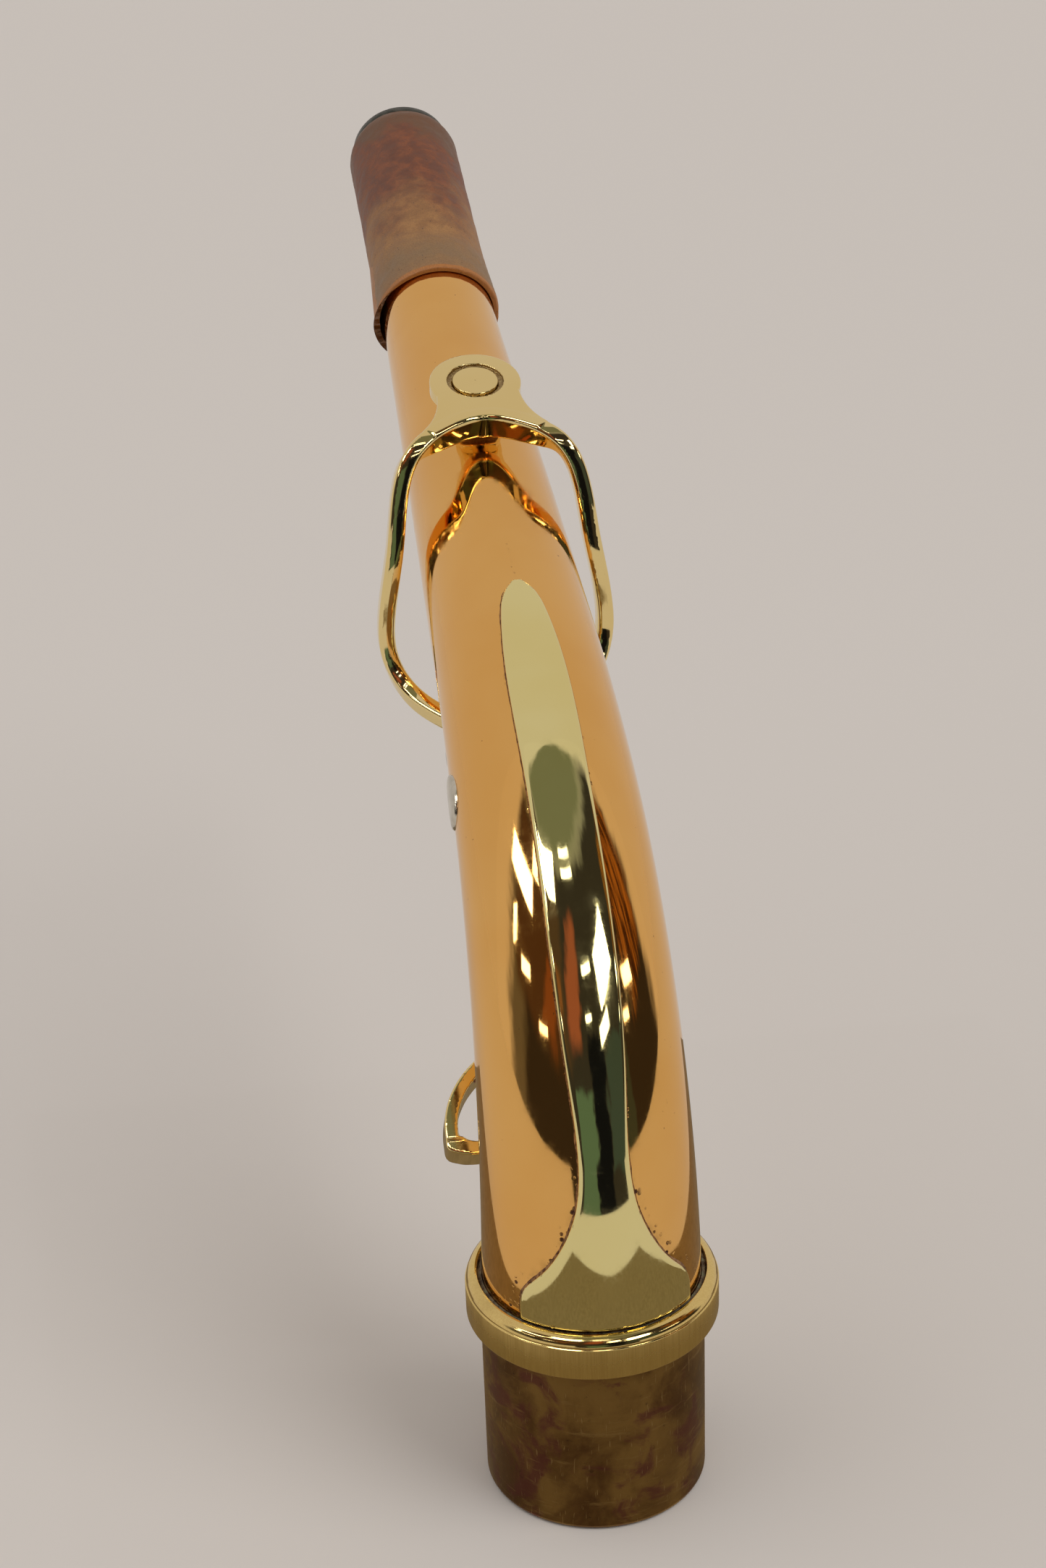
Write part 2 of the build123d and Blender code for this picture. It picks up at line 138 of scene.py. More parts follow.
def box_mm(node, room=0.0):
    """A node's lowest and highest corners in millimetres, with some room round them."""
    return [np.array(corner) * 1000 + side * room for side, corner in zip((-1, 1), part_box(node))]


# ---- meshes

def linked(name, data):
    """A new object in the scene."""
    made = bpy.data.objects.new(name, data)
    bpy.context.scene.collection.objects.link(made)
    return made


def dress(made, material):
    made.data.materials.clear()
    made.data.materials.append(material)


def piece(name, points, faces, body, slot, material, *nodes, normals=None):
    """A mesh from points in millimetres that rides on a body and stands for CAD nodes."""
    mesh = bpy.data.meshes.new(name)
    mesh.from_pydata((np.asarray(points) * 0.001).tolist(), [], [list(map(int, f)) for f in faces])
    mesh.validate()
    work = bmesh.new()
    work.from_mesh(mesh)
    bmesh.ops.recalc_face_normals(work, faces=work.faces)
    work.to_mesh(mesh)
    work.free()
    mesh.shade_smooth()
    if normals is not None:
        mesh.normals_split_custom_set_from_vertices(normals.tolist())
    made = linked(name, mesh)
    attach(made, body)
    if nodes:
        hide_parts(*nodes)
    dress(made, material)
    return made


def swept(profile, line, turns=128, wobble=None):
    """Points and faces of a closed outline of (radius, distance) carried round a line."""
    angle = np.linspace(0, 2 * math.pi, turns, endpoint=False)
    points = []
    for radius, distance in profile:
        centre, out = line(distance)
        reach = np.full(turns, radius)
        if wobble:
            reach = reach + wobble(radius, distance, angle)
        points.append(centre + reach[:, None] * (np.cos(angle)[:, None] * out + np.sin(angle)[:, None] * X))
    points = np.concatenate(points)
    faces = []
    for i in range(len(profile)):
        a, b = i * turns, (i + 1) % len(profile) * turns
        faces += [(a + j, a + (j + 1) % turns, b + (j + 1) % turns, b + j) for j in range(turns)]
    return points, faces


def eased(corners, default=0.2, steps=4):
    """A closed outline with rounded corners; a corner may give its own radius."""
    sharp = [np.array(c[:2], float) for c in corners]
    made = []
    for i, here in enumerate(sharp):
        before = sharp[i - 1] - here
        after = sharp[(i + 1) % len(sharp)] - here
        long_before, long_after = np.linalg.norm(before), np.linalg.norm(after)
        radius = corners[i][2] if len(corners[i]) > 2 else default
        cut = min(radius, 0.45 * long_before, 0.45 * long_after)
        before, after = before / long_before, after / long_after
        if long_before > 3 * cut:
            made.append(here + before * cut * 1.25)
        for step in range(steps + 1):
            t = step / steps
            made.append(here + before * cut * (1 - t) ** 2 + after * cut * t * t)
        if long_after > 3 * cut:
            made.append(here + after * cut * 1.25)
    return made


def smooth_line(points, spacing=0.2, ends=None):
    """A cubic spline through points, sampled evenly enough for a mesh."""
    p = np.array(points, float)
    t = np.concatenate([[0], np.cumsum(np.linalg.norm(np.diff(p, axis=0), axis=1))])
    h = np.diff(t)
    n = len(p)
    a = np.zeros((n, n))
    b = np.zeros((n, p.shape[1]))
    for i in range(1, n - 1):
        a[i, i - 1], a[i, i], a[i, i + 1] = h[i - 1], 2 * (h[i - 1] + h[i]), h[i]
        b[i] = 6 * ((p[i + 1] - p[i]) / h[i] - (p[i] - p[i - 1]) / h[i - 1])
    if ends:
        a[0, 0], a[0, 1] = 2 * h[0], h[0]
        b[0] = 6 * ((p[1] - p[0]) / h[0] - np.array(ends[0]))
        a[n - 1, n - 2], a[n - 1, n - 1] = h[-1], 2 * h[-1]
        b[n - 1] = 6 * (np.array(ends[1]) - (p[-1] - p[-2]) / h[-1])
    else:
        a[0, 0] = a[n - 1, n - 1] = 1
    m = np.linalg.solve(a, b)
    made = []
    for i in range(n - 1):
        count = max(2, int(math.ceil(h[i] / spacing)))
        for step in range(count):
            v = step / count * h[i]
            u = h[i] - v
            made.append(m[i] * u ** 3 / (6 * h[i]) + m[i + 1] * v ** 3 / (6 * h[i])
                        + (p[i] / h[i] - m[i] * h[i] / 6) * u + (p[i + 1] / h[i] - m[i + 1] * h[i] / 6) * v)
    made.append(p[-1])
    return np.array(made)


def finer(outline, spacing, beyond=0.0):
    """More points up the long sides of an outline, where it is wider than beyond."""
    dense = []
    for (r0, z0), (r1, z1) in zip(outline, outline[1:] + outline[:1]):
        parts = max(1, int(abs(z1 - z0) / spacing)) if max(r0, r1) > beyond else 1
        dense += [(r0 + (r1 - r0) * k / parts, z0 + (z1 - z0) * k / parts) for k in range(parts)]
    return dense


# ---- solids from distances

class Outline:
    """A closed outline in a plane that gives the distance to it, below 0 inside."""

    def __init__(self, loop, cell=0.5, pad=1.5):
        a = np.asarray(loop, float)
        a = a[np.linalg.norm(np.roll(a, -1, 0) - a, axis=1) > 1e-6]
        b = np.roll(a, -1, 0)
        if (a[:, 0] * b[:, 1] - a[:, 1] * b[:, 0]).sum() < 0:
            a = a[::-1]
            b = np.roll(a, -1, 0)
        self.a, self.e = a, b - a
        self.ee = (self.e ** 2).sum(1)
        normal = np.stack([self.e[:, 1], -self.e[:, 0]], 1) / np.sqrt(self.ee)[:, None]
        self.normal, self.before = normal, normal + np.roll(normal, 1, 0)
        self.low, self.cell = a.min(0) - pad, cell
        count = np.ceil((a.max(0) + pad - self.low) / cell).astype(int) + 1
        u = (self.low[0] + np.arange(count[0]) * cell)[:, None, None]
        v = (self.low[1] + np.arange(count[1]) * cell)[None, :, None]
        mid = a + self.e / 2
        self.table = ((u - mid[:, 0]) ** 2 + (v - mid[:, 1]) ** 2).argmin(2)

    def __call__(self, u, v):
        i = np.clip(np.rint((u - self.low[0]) / self.cell).astype(int), 0, self.table.shape[0] - 1)
        j = np.clip(np.rint((v - self.low[1]) / self.cell).astype(int), 0, self.table.shape[1] - 1)
        near = self.table[i, j]
        best = np.full(len(u), 1e9)
        sign = np.ones(len(u))
        total = len(self.a)
        for shift in range(-5, 6):
            k = (near + shift) % total
            pu, pv = u - self.a[k, 0], v - self.a[k, 1]
            eu, ev = self.e[k, 0], self.e[k, 1]
            t = np.clip((pu * eu + pv * ev) / self.ee[k], 0, 1)
            du, dv = pu - t * eu, pv - t * ev
            gap = du * du + dv * dv
            closer = gap < best
            best = np.where(closer, gap, best)
            normal = np.where((t <= 0)[:, None], self.before[k], self.normal[k])
            normal = np.where((t >= 1)[:, None], self.before[(k + 1) % total], normal)
            sign = np.where(closer, np.where(du * normal[:, 0] + dv * normal[:, 1] < 0, -1.0, 1.0), sign)
        return np.sqrt(best) * sign


def meet(a, b, radius):
    """Both of two solids, their shared edge rounded."""
    a, b = a + radius, b + radius
    return np.minimum(np.maximum(a, b), 0) + np.hypot(np.maximum(a, 0), np.maximum(b, 0)) - radius


def join(a, b, radius):
    """Either of two solids, the corner between them filled a little."""
    h = np.clip(0.5 + 0.5 * (b - a) / radius, 0, 1)
    return b + (a - b) * h - radius * h * (1 - h)


def solid(field, low, high, cell):
    """Quads on the surface where the distance is 0: points slid onto it, faces, and normals there."""
    low = np.array(low, float)
    count = np.ceil((np.array(high, float) - low) / cell).astype(int) + 2
    step = 4
    blocks = -(-count // step)
    index = np.stack(np.meshgrid(*[np.arange(b) for b in blocks], indexing="ij"), -1).reshape(-1, 3)
    middle = low + (index * step + step / 2) * cell
    near = index[np.abs(field(middle)) < step * cell * 1.35]
    shape = tuple(blocks * step + 1)
    grid = np.full(shape, 9.0)
    wanted = np.zeros(shape, bool)
    for i, j, k in near * step:
        wanted[i:i + step + 1, j:j + step + 1, k:k + step + 1] = True
    spot = np.argwhere(wanted)
    grid[wanted] = field(low + spot * cell)
    inside = grid < 0
    cells = tuple(s - 1 for s in shape)

    def corner(array, i, j, k):
        return array[i:i + cells[0], j:j + cells[1], k:k + cells[2]]

    corners = [(i, j, k) for i in (0, 1) for j in (0, 1) for k in (0, 1)]
    total = sum(corner(inside, *c).astype(np.int8) for c in corners)
    ready = np.ones(cells, bool)
    for c in corners:
        ready &= corner(wanted, *c)
    active = (total > 0) & (total < 8) & ready
    where = np.argwhere(active)
    number = np.full(cells, -1)
    number[active] = np.arange(len(where))
    point = np.zeros((len(where), 3))
    weight = np.zeros(len(where))
    for c in corners:
        for axis in range(3):
            if c[axis]:
                continue
            d = list(c)
            d[axis] = 1
            ga = grid[tuple((where + c).T)]
            gb = grid[tuple((where + d).T)]
            cut = (ga < 0) != (gb < 0)
            share = np.where(cut, ga / np.where(cut, ga - gb, 1), 0)
            here = np.tile(np.array(c, float), (len(where), 1))
            here[:, axis] += share
            point[cut] += here[cut]
            weight[cut] += 1
    point = low + (where + point / weight[:, None]) * cell
    faces = []
    for axis in range(3):
        one, two = [a for a in range(3) if a != axis]
        lo = [0, 0, 0]
        hi = list(shape)
        lo[one] = lo[two] = 1
        hi[one] -= 1
        hi[two] -= 1
        hi[axis] -= 1
        box = tuple(slice(lo[a], hi[a]) for a in range(3))
        shifted = list(box)
        shifted[axis] = slice(1, hi[axis] + 1)
        edge = np.argwhere(inside[box] != inside[tuple(shifted)]) + lo
        quad = []
        for back_one, back_two in ((0, 0), (1, 0), (1, 1), (0, 1)):
            c = edge.copy()
            c[:, one] -= back_one
            c[:, two] -= back_two
            quad.append(number[tuple(c.T)])
        quad = np.stack(quad, 1)
        faces.append(quad[(quad >= 0).all(1)])
    tiny = 0.02
    ways = np.eye(3) * tiny
    for _ in range(4):
        value = field(point)
        slope = np.stack([(field(point + way) - value) / tiny for way in ways], 1)
        size = np.maximum((slope ** 2).sum(1), 0.3)
        move = -(value / size)[:, None] * slope
        long = np.linalg.norm(move, axis=1, keepdims=True)
        point = point + move * np.minimum(1, 0.5 * cell / np.maximum(long, 1e-9))
    slope = np.stack([field(point + way) - field(point - way) for way in ways], 1)
    long = np.linalg.norm(slope, axis=1, keepdims=True)
    return point, np.concatenate(faces), slope / np.maximum(long, 1e-9)


# ---- node helpers

class Surface:
    """A Principled material and short ways to wire textures into it."""

    def __init__(self, name):
        self.material = bpy.data.materials.new(name)
        self.material.use_nodes = True
        self.tree = self.material.node_tree
        self.tree.nodes.clear()
        self.output = self.node("OutputMaterial")
        self.shader = self.node("BsdfPrincipled")
        self.tree.links.new(self.shader.outputs[0], self.output.inputs[0])
        self.place = self.node("TexCoord").outputs["Object"]

    def node(self, kind, settings=None, **inputs):
        made = self.tree.nodes.new("ShaderNode" + kind)
        for key, value in (settings or {}).items():
            setattr(made, key, value)
        for key, value in inputs.items():
            self.feed(made, key, value)
        return made

    def feed(self, node, key, value):
        key = key.replace("_", " ")
        socket = node.inputs[int(key)] if key.isdigit() else node.inputs[key]
        if isinstance(value, bpy.types.NodeSocket):
            self.tree.links.new(value, socket)
        else:
            socket.default_value = value

    def set(self, **inputs):
        for key, value in inputs.items():
            self.feed(self.shader, key, value)

    def stretched(self, scale, turn=(0, 0, 0)):
        """Object coordinates in millimetres, scaled along each axis."""
        made = self.node("Mapping", Vector=self.place, Scale=[1000 * s for s in scale], Rotation=turn)
        return made.outputs[0]

    def noise(self, scale, detail=4.0, rough=0.55, vector=None, warp=0.0):
        """Noise whose features are about 1 / scale millimetres."""
        vector = vector or self.stretched((1, 1, 1))
        form = {"Scale": scale, "Detail": detail, "Roughness": rough, "Distortion": warp}
        return self.node("TexNoise", Vector=vector, **form).outputs["Fac"]

    def cells(self, scale, vector=None):
        vector = vector or self.stretched((1, 1, 1))
        return self.node("TexVoronoi", Vector=vector, Scale=scale, Randomness=1.0).outputs["Distance"]

    def ramp(self, value, low, high, a=0.0, b=1.0):
        smooth = {"interpolation_type": "SMOOTHSTEP"}
        made = self.node("MapRange", smooth, Value=value, From_Min=low, From_Max=high, To_Min=a, To_Max=b)
        return made.outputs[0]

    def maths(self, kind, a, b=0.0):
        made = self.node("Math", {"operation": kind})
        self.feed(made, "0", a)
        self.feed(made, "1", b)
        return made.outputs[0]

    def times(self, a, b):
        return self.maths("MULTIPLY", a, b)

    def plus(self, a, b):
        return self.maths("ADD", a, b)

    def less(self, a, b):
        return self.maths("SUBTRACT", a, b)

    def mix(self, share, a, b):
        made = self.node("Mix", {"data_type": "RGBA"})
        self.feed(made, "0", share)
        for key, value in (("6", a), ("7", b)):
            self.feed(made, key, value if isinstance(value, bpy.types.NodeSocket) else (*value, 1.0))
        return made.outputs[2]

    def bump(self, height, strength, distance, normal=None):
        """Distance is in millimetres."""
        made = self.node("Bump", Height=height, Strength=strength, Distance=distance * 0.001)
        if normal:
            self.feed(made, "Normal", normal)
        return made.outputs[0]

    def finished(self, colour, roughness, normal, metallic=0.0, **more):
        self.set(Base_Color=colour, Roughness=roughness, Normal=normal, Metallic=metallic, **more)
        return self.material

    def glow(self, colour, strength=1.0):
        """Light of its own and nothing else."""
        self.set(Base_Color=(0, 0, 0, 1), Specular_IOR_Level=0.0)
        self.set(Emission_Color=colour, Emission_Strength=strength)
        return self.material

    def attribute(self, name):
        return self.node("Attribute", {"attribute_name": name}).outputs["Fac"]


def mark(made, name, values):
    """Store a number at each point of a mesh for its material to read."""
    layer = made.data.attributes.new(name, "FLOAT", "POINT")
    layer.data.foreach_set("value", np.asarray(values, np.float32))


# ---- materials

PIT = (0.075, 0.016, 0.018)


def mirror_metal(name, clean, warm, rough, speck=0.62, seam=None, ripple=0.35):
    """Polished, lacquered metal: slow colour drift, hairlines, haze and a few specks."""
    m = Surface(name)
    slow = m.noise(0.05, 3.0)
    colour = m.mix(m.ramp(slow, 0.35, 0.7), clean, warm)
    fine = m.noise(3.0, 5.0, 0.6)
    spot = m.ramp(m.noise(1.6, 2.0, 0.5), speck + 0.14, speck + 0.2)
    colour = m.mix(m.times(spot, 0.8), colour, PIT)
    hair = m.noise(14.0, 2.0, 0.6, m.stretched((0.06, 1, 1), (0.3, 0.5, 0.2)))
    haze = m.ramp(m.noise(0.25, 4.0, 0.65), 0.42, 0.72, 0.0, 0.05)
    roughness = m.plus(m.ramp(fine, 0.3, 0.8, rough * 0.6, rough * 1.4), haze)
    touched = m.times(m.attribute("touched"), m.ramp(m.noise(0.22, 5.0, 0.7), 0.45, 0.66))
    roughness = m.plus(roughness, m.times(touched, 0.16))
    dull = m.attribute("dull")
    colour = m.mix(m.times(dull, m.ramp(fine, 0.2, 0.6, 0.35, 0.85)), colour, (0.24, 0.14, 0.055))
    roughness = m.plus(roughness, m.times(dull, 0.4))
    height = m.plus(m.noise(0.125, 2.0, 0.4), m.times(hair, 0.004))
    normal = m.bump(height, ripple, 0.05)
    if seam:
        edge = m.attribute(seam)
        grains = m.ramp(m.cells(1.05), 0.20, 0.33, 1.0, 0.0)
        chance = m.ramp(m.noise(0.45, 3.0), 0.40, 0.56)
        corroded = m.times(m.times(grains, chance), m.ramp(edge, 0.28, 0.62))
        colour = m.mix(corroded, colour, PIT)
        stain = m.times(m.ramp(edge, 0.3, 1.0, 0.0, 0.55), m.ramp(m.noise(0.7, 4.0), 0.4, 0.7))
        colour = m.mix(stain, colour, tuple(0.35 * c for c in warm))
        roughness = m.plus(roughness, m.times(corroded, 0.5))
        normal = m.bump(m.times(corroded, -1.0), 0.6, 0.06, normal)
    m.set(Coat_Weight=0.25, Coat_Roughness=0.03, Coat_IOR=1.5)
    return m.finished(colour, roughness, normal, 1.0)


def brushed_metal(name, clean, dull):
    """Hairlines run up the band; scattered patches hold a little tarnish."""
    m = Surface(name)
    lines = m.noise(6.0, 3.0, 0.7, m.stretched((1, 1, 0.02)))
    broad = m.noise(1.2, 3.0, 0.6, m.stretched((1, 1, 0.08)))
    patch = m.noise(0.12, 4.0)
    colour = m.mix(m.ramp(lines, 0.3, 0.75), clean, dull)
    colour = m.mix(m.ramp(patch, 0.5, 0.8, 0.0, 0.5), colour, tuple(0.6 * c for c in dull))
    face = m.attribute("brushed")
    roughness = m.plus(m.times(face, m.ramp(broad, 0.2, 0.8, 0.28, 0.42)), 0.09)
    height = m.times(lines, face)
    return m.finished(colour, roughness, m.bump(height, 0.5, 0.02), 1.0)


def tarnished_metal(name):
    """Bare brass sleeve gone brown: olive clouds, purple patches, rubbed streaks, scratches."""
    m = Surface(name)
    cloud = m.noise(0.10, 5.0, 0.6, warp=0.6)
    colour = m.mix(m.ramp(cloud, 0.35, 0.62), (0.17, 0.088, 0.032), (0.38, 0.235, 0.075))
    purple = m.noise(0.16, 4.0, 0.6, warp=0.8)
    colour = m.mix(m.ramp(purple, 0.50, 0.66, 0.0, 0.8), colour, (0.19, 0.060, 0.055))
    rub = m.noise(0.5, 4.0, 0.7, m.stretched((0.35, 0.35, 2.2)))
    colour = m.mix(m.ramp(rub, 0.56, 0.75, 0.0, 0.55), colour, (0.52, 0.36, 0.15))
    dark = m.noise(0.8, 5.0, 0.7)
    colour = m.mix(m.ramp(dark, 0.6, 0.75, 0.0, 0.6), colour, (0.07, 0.035, 0.02))
    scratch = m.ramp(m.noise(9.0, 2.0, 0.5, m.stretched((0.5, 0.5, 0.05), (0.2, 0.35, 0.0))), 0.66, 0.72)
    colour = m.mix(m.times(scratch, 0.5), colour, (0.62, 0.45, 0.22))
    roughness = m.plus(m.ramp(cloud, 0.3, 0.7, 0.30, 0.46), m.ramp(rub, 0.5, 0.8, 0.0, -0.12))
    height = m.plus(m.times(m.noise(2.5, 5.0, 0.65), 0.6), m.times(scratch, -0.5))
    return m.finished(colour, roughness, m.bump(height, 0.35, 0.05), 0.92)


def cork_material(name, band=True):
    """Greased cork: ochre by the rim, darkening to red-brown, with pores and lenticels; a painted highlight
    lies along the rim's outer edge.
    """
    m = Surface(name)
    grain = m.noise(0.5, 6.0, 0.7, warp=0.4)
    pale = m.mix(m.ramp(grain, 0.35, 0.7), (0.25, 0.115, 0.034), (0.36, 0.18, 0.058))
    deep = m.mix(m.ramp(grain, 0.35, 0.7), (0.115, 0.030, 0.011), (0.23, 0.066, 0.021))
    colour = pale
    if band:
        far = m.plus(m.attribute("worn"), m.ramp(m.noise(0.14, 4.0), 0.2, 0.8, -0.16, 0.16))
        colour = m.mix(m.ramp(far, 0.25, 0.62), pale, deep)
        smoked = m.times(m.ramp(far, 0.80, 0.95), 0.75)
        colour = m.mix(smoked, colour, (0.12, 0.062, 0.028))
        grey = m.times(m.attribute("band"), m.ramp(m.noise(0.3, 4.0), 0.2, 0.6, 0.45, 0.9))
        colour = m.mix(grey, colour, (0.215, 0.135, 0.062))
        # painted highlight: a bright orange line where light catches the rim's outer edge
        colour = m.mix(m.times(m.attribute("rim"), 0.85), colour, (0.42, 0.155, 0.028))
    pore = m.ramp(m.cells(1.1, m.stretched((1, 1, 1.6))), 0.05, 0.16, 1.0, 0.0)
    rare = m.ramp(m.noise(0.7, 2.0), 0.46, 0.6)
    pore = m.times(pore, rare)
    cell = m.cells(5.0)
    colour = m.mix(m.times(pore, 0.9), colour, (0.045, 0.018, 0.010))
    colour = m.mix(m.ramp(cell, 0.3, 0.7, 0.0, 0.25), colour, (0.10, 0.04, 0.015))
    height = m.plus(m.times(pore, -1.0), m.times(m.noise(1.8, 5.0, 0.7), 0.5))
    m.set(Coat_Weight=0.08, Coat_Roughness=0.4)
    return m.finished(colour, m.ramp(grain, 0.3, 0.7, 0.42, 0.62), m.bump(height, 0.6, 0.14))


def plain_metal(name, base, dull, rough, depth=0.02):
    """Worn metal: broad patches of dull, fine scratches."""
    m = Surface(name)
    patch = m.noise(0.45, 4.0)
    fine = m.noise(6.0, 4.0, 0.65)
    colour = m.mix(m.ramp(patch, 0.35, 0.7), base, dull)
    return m.finished(colour, m.ramp(fine, 0.3, 0.8, rough * 0.7, rough * 1.5), m.bump(fine, 0.4, depth), 1.0)


def solder_material(name):
    """Grey-brown flux and solder with green corrosion and dark red spots."""
    m = Surface(name)
    crust = m.noise(0.9, 6.0, 0.7, warp=0.5)
    colour = m.mix(m.ramp(crust, 0.35, 0.6), (0.035, 0.022, 0.014), (0.20, 0.17, 0.11))
    green = m.ramp(m.noise(0.45, 4.0), 0.55, 0.66)
    colour = m.mix(m.times(green, 0.7), colour, (0.16, 0.22, 0.14))
    red = m.ramp(m.cells(1.2), 0.12, 0.28, 1.0, 0.0)
    colour = m.mix(m.times(red, 0.8), colour, (0.09, 0.018, 0.010))
    return m.finished(colour, m.ramp(crust, 0.3, 0.7, 0.45, 0.8), m.bump(crust, 0.8, 0.2), 0.35)


def seam_material(name):
    """A hair of solder and old flux, red-brown to copper."""
    m = Surface(name)
    grain = m.noise(1.3, 5.0, 0.7, warp=0.4)
    colour = m.mix(m.ramp(grain, 0.35, 0.65), (0.075, 0.022, 0.014), (0.42, 0.22, 0.09))
    return m.finished(colour, m.ramp(grain, 0.3, 0.7, 0.55, 0.3), m.bump(grain, 0.6, 0.08), 0.8)


def fibre_material(name, base, dark, depth=0.1):
    m = Surface(name)
    hair = m.noise(4.0, 6.0, 0.75, warp=1.5)
    colour = m.mix(m.ramp(hair, 0.3, 0.7), dark, base)
    return m.finished(colour, m.ramp(hair, 0.2, 0.8, 0.8, 0.95), m.bump(hair, 0.8, depth), Sheen_Weight=0.3)


def leather_material(name):
    m = Surface(name)
    grain = m.cells(3.2)
    colour = m.mix(m.ramp(grain, 0.1, 0.6), (0.10, 0.045, 0.022), (0.24, 0.12, 0.055))
    return m.finished(colour, m.ramp(grain, 0.1, 0.6, 0.4, 0.6), m.bump(grain, 0.5, 0.06))


def blued_material(name):
    m = Surface(name)
    temper = m.noise(0.35, 3.0)
    colour = m.mix(m.ramp(temper, 0.35, 0.65), (0.035, 0.055, 0.16), (0.16, 0.10, 0.17))
    fine = m.noise(8.0, 3.0, 0.6, m.stretched((1, 0.1, 0.1)))
    return m.finished(colour, m.ramp(fine, 0.3, 0.8, 0.2, 0.36), m.bump(fine, 0.3, 0.01), 1.0)


LACQUER = mirror_metal("lacquered_copper", (0.93, 0.53, 0.155), (0.90, 0.49, 0.13), 0.05, seam="seam")
STRIP = mirror_metal("polished_brass", (0.93, 0.83, 0.39), (0.90, 0.78, 0.33), 0.045, speck=0.64, seam="seam")
KEY = mirror_metal("key_brass", (0.94, 0.76, 0.36), (0.92, 0.72, 0.31), 0.05, ripple=0.05)
COLLAR = brushed_metal("collar_brass", (0.90, 0.69, 0.27), (0.78, 0.57, 0.21))
TENON = tarnished_metal("raw_brass")
SOLDER = solder_material("solder")
SEAM = seam_material("seam_solder")
CORK = cork_material("cork")
STOP_CORK = cork_material("stop_cork", False)
NICKEL = plain_metal("aged_nickel", (0.12, 0.12, 0.105), (0.06, 0.065, 0.055), 0.4, 0.05)
STEEL = plain_metal("steel", (0.56, 0.55, 0.53), (0.40, 0.39, 0.37), 0.22)
SILVER = plain_metal("nickel_silver", (0.72, 0.69, 0.60), (0.55, 0.52, 0.44), 0.16)
BLUED = blued_material("blued_steel")
FELT = fibre_material("felt", (0.30, 0.025, 0.03), (0.15, 0.012, 0.016))
CARD = fibre_material("card", (0.42, 0.33, 0.22), (0.30, 0.23, 0.15), 0.03)
LEATHER = leather_material("pad_leather")

# ---- neck tube

STRIP_SHAPE = [(0.6, 11.5), (3.0, 11.3), (6.0, 8.5), (9.6, 5.5), (13.2, 3.75), (17.0, 3.1)]
STRIP_SHAPE += [(26.0, 3.5), (41.0, 4.0), (56.0, 3.95), (70.0, 3.9), (76.0, 3.45)]
STRIP_SHAPE += [(80.2, 2.85), (83.2, 1.95), (84.7, 0.9)]
STRIP_END = 84.7
STRIP_THICK = 0.7
strip_edge = smooth_line(STRIP_SHAPE, spacing=0.25)


def strip_half(s):
    """Half width of the spine strip over the tube at s."""
    return np.interp(s, strip_edge[:, 0], strip_edge[:, 1], right=0.0)


stations = np.concatenate([np.arange(-4.1, 0, 1.0), np.arange(0, TUBE_LENGTH - 0.6, 1.0)])
outside = [(float(tube_r(s)), float(s)) for s in stations]
end_r = float(tube_r(TUBE_LENGTH))
lip = [(end_r + 0.015, TUBE_LENGTH - 0.4), (end_r, TUBE_LENGTH - 0.18), (end_r - 0.08, TUBE_LENGTH - 0.04)]
lip += [(end_r - 0.2, TUBE_LENGTH), (end_r - 0.5, TUBE_LENGTH), (end_r - 0.64, TUBE_LENGTH - 0.06)]
inside = [(r - TUBE_WALL, s) for r, s in reversed(outside)]
profile = outside + lip + inside
TURNS = 144
points, faces = swept(profile, bent, TURNS)
tube = piece("neck_tube_skin", points, faces, "neck", "lacquered_copper", LACQUER, "neck_tube")
radii = np.repeat([p[0] for p in profile], TURNS)
along = np.repeat([p[1] for p in profile], TURNS)
around = np.tile(np.linspace(0, 2 * math.pi, TURNS, endpoint=False), len(profile))
around = np.where(around > math.pi, around - 2 * math.pi, around)
apart = np.abs(around) * radii - strip_half(along)
low = np.exp(-np.maximum(along, 0) / 9.0)
seam = np.exp(-np.maximum(apart, 0) / (0.8 + 2.4 * low))
seam *= 0.45 + 0.55 * np.exp(-np.maximum(along - 4, 0) / 14.0)
seam = np.maximum(seam, 0.75 * np.exp(-np.maximum(along, 0) / 1.5)) * (along < 95)
mark(tube, "seam", seam)
mark(tube, "touched", np.exp(-((along - 104) / 16) ** 2) * (radii > 9))

# ---- spine strip

ring, nearness = [], []
FOOT = {0.12: 0.5, 0.17: 0.25, 0.26: 0.08}
NOSE = {STRIP_END: 1.0, STRIP_END + 0.25: 0.62, STRIP_END + 0.4: 0.12}
for s in [*FOOT, 0.45, *np.arange(1.0, 82.0, 0.75), 82.6, 83.2, 83.8, 84.3, *NOSE]:
    half = float(strip_half(min(s, STRIP_END))) * NOSE.get(s, 1.0)
    radius = float(tube_r(s))
    top = STRIP_THICK - FOOT.get(s, 0.0) - 0.35 * (1 - NOSE.get(s, 1.0))
    edge = min(0.62, half * 0.6)
    right = [(half, -0.25), (half, 0.12)]
    for step in range(8):
        t = step / 7 * math.pi / 2
        right.append((half - edge + edge * math.cos(t), 0.15 + (STRIP_THICK - 0.15) * math.sin(t)))
    right += [(w, STRIP_THICK) for w in np.linspace(half - edge, 0, 13)[1:-1]]
    section = right + [(0, STRIP_THICK)] + [(-w, h) for w, h in reversed(right)]
    centre, out = bent(s)
    for w, h in section:
        a = w / (radius + 0.35)
        ring.append(centre + (radius + min(h, top)) * (math.cos(a) * out + math.sin(a) * X))
        at_edge = (0.3 + 0.5 * math.exp(-s / 10)) * (abs(w) > half - 0.5 * edge)
        nearness.append(at_edge + 0.9 * math.exp(-s / 0.7))
across = len(section)
rows = len(ring) // across
faces = [(i * across + j, i * across + j + 1, (i + 1) * across + j + 1, (i + 1) * across + j)
         for i in range(rows - 1) for j in range(across - 1)]
faces += [tuple(range(across)), tuple(range((rows - 1) * across, rows * across))]
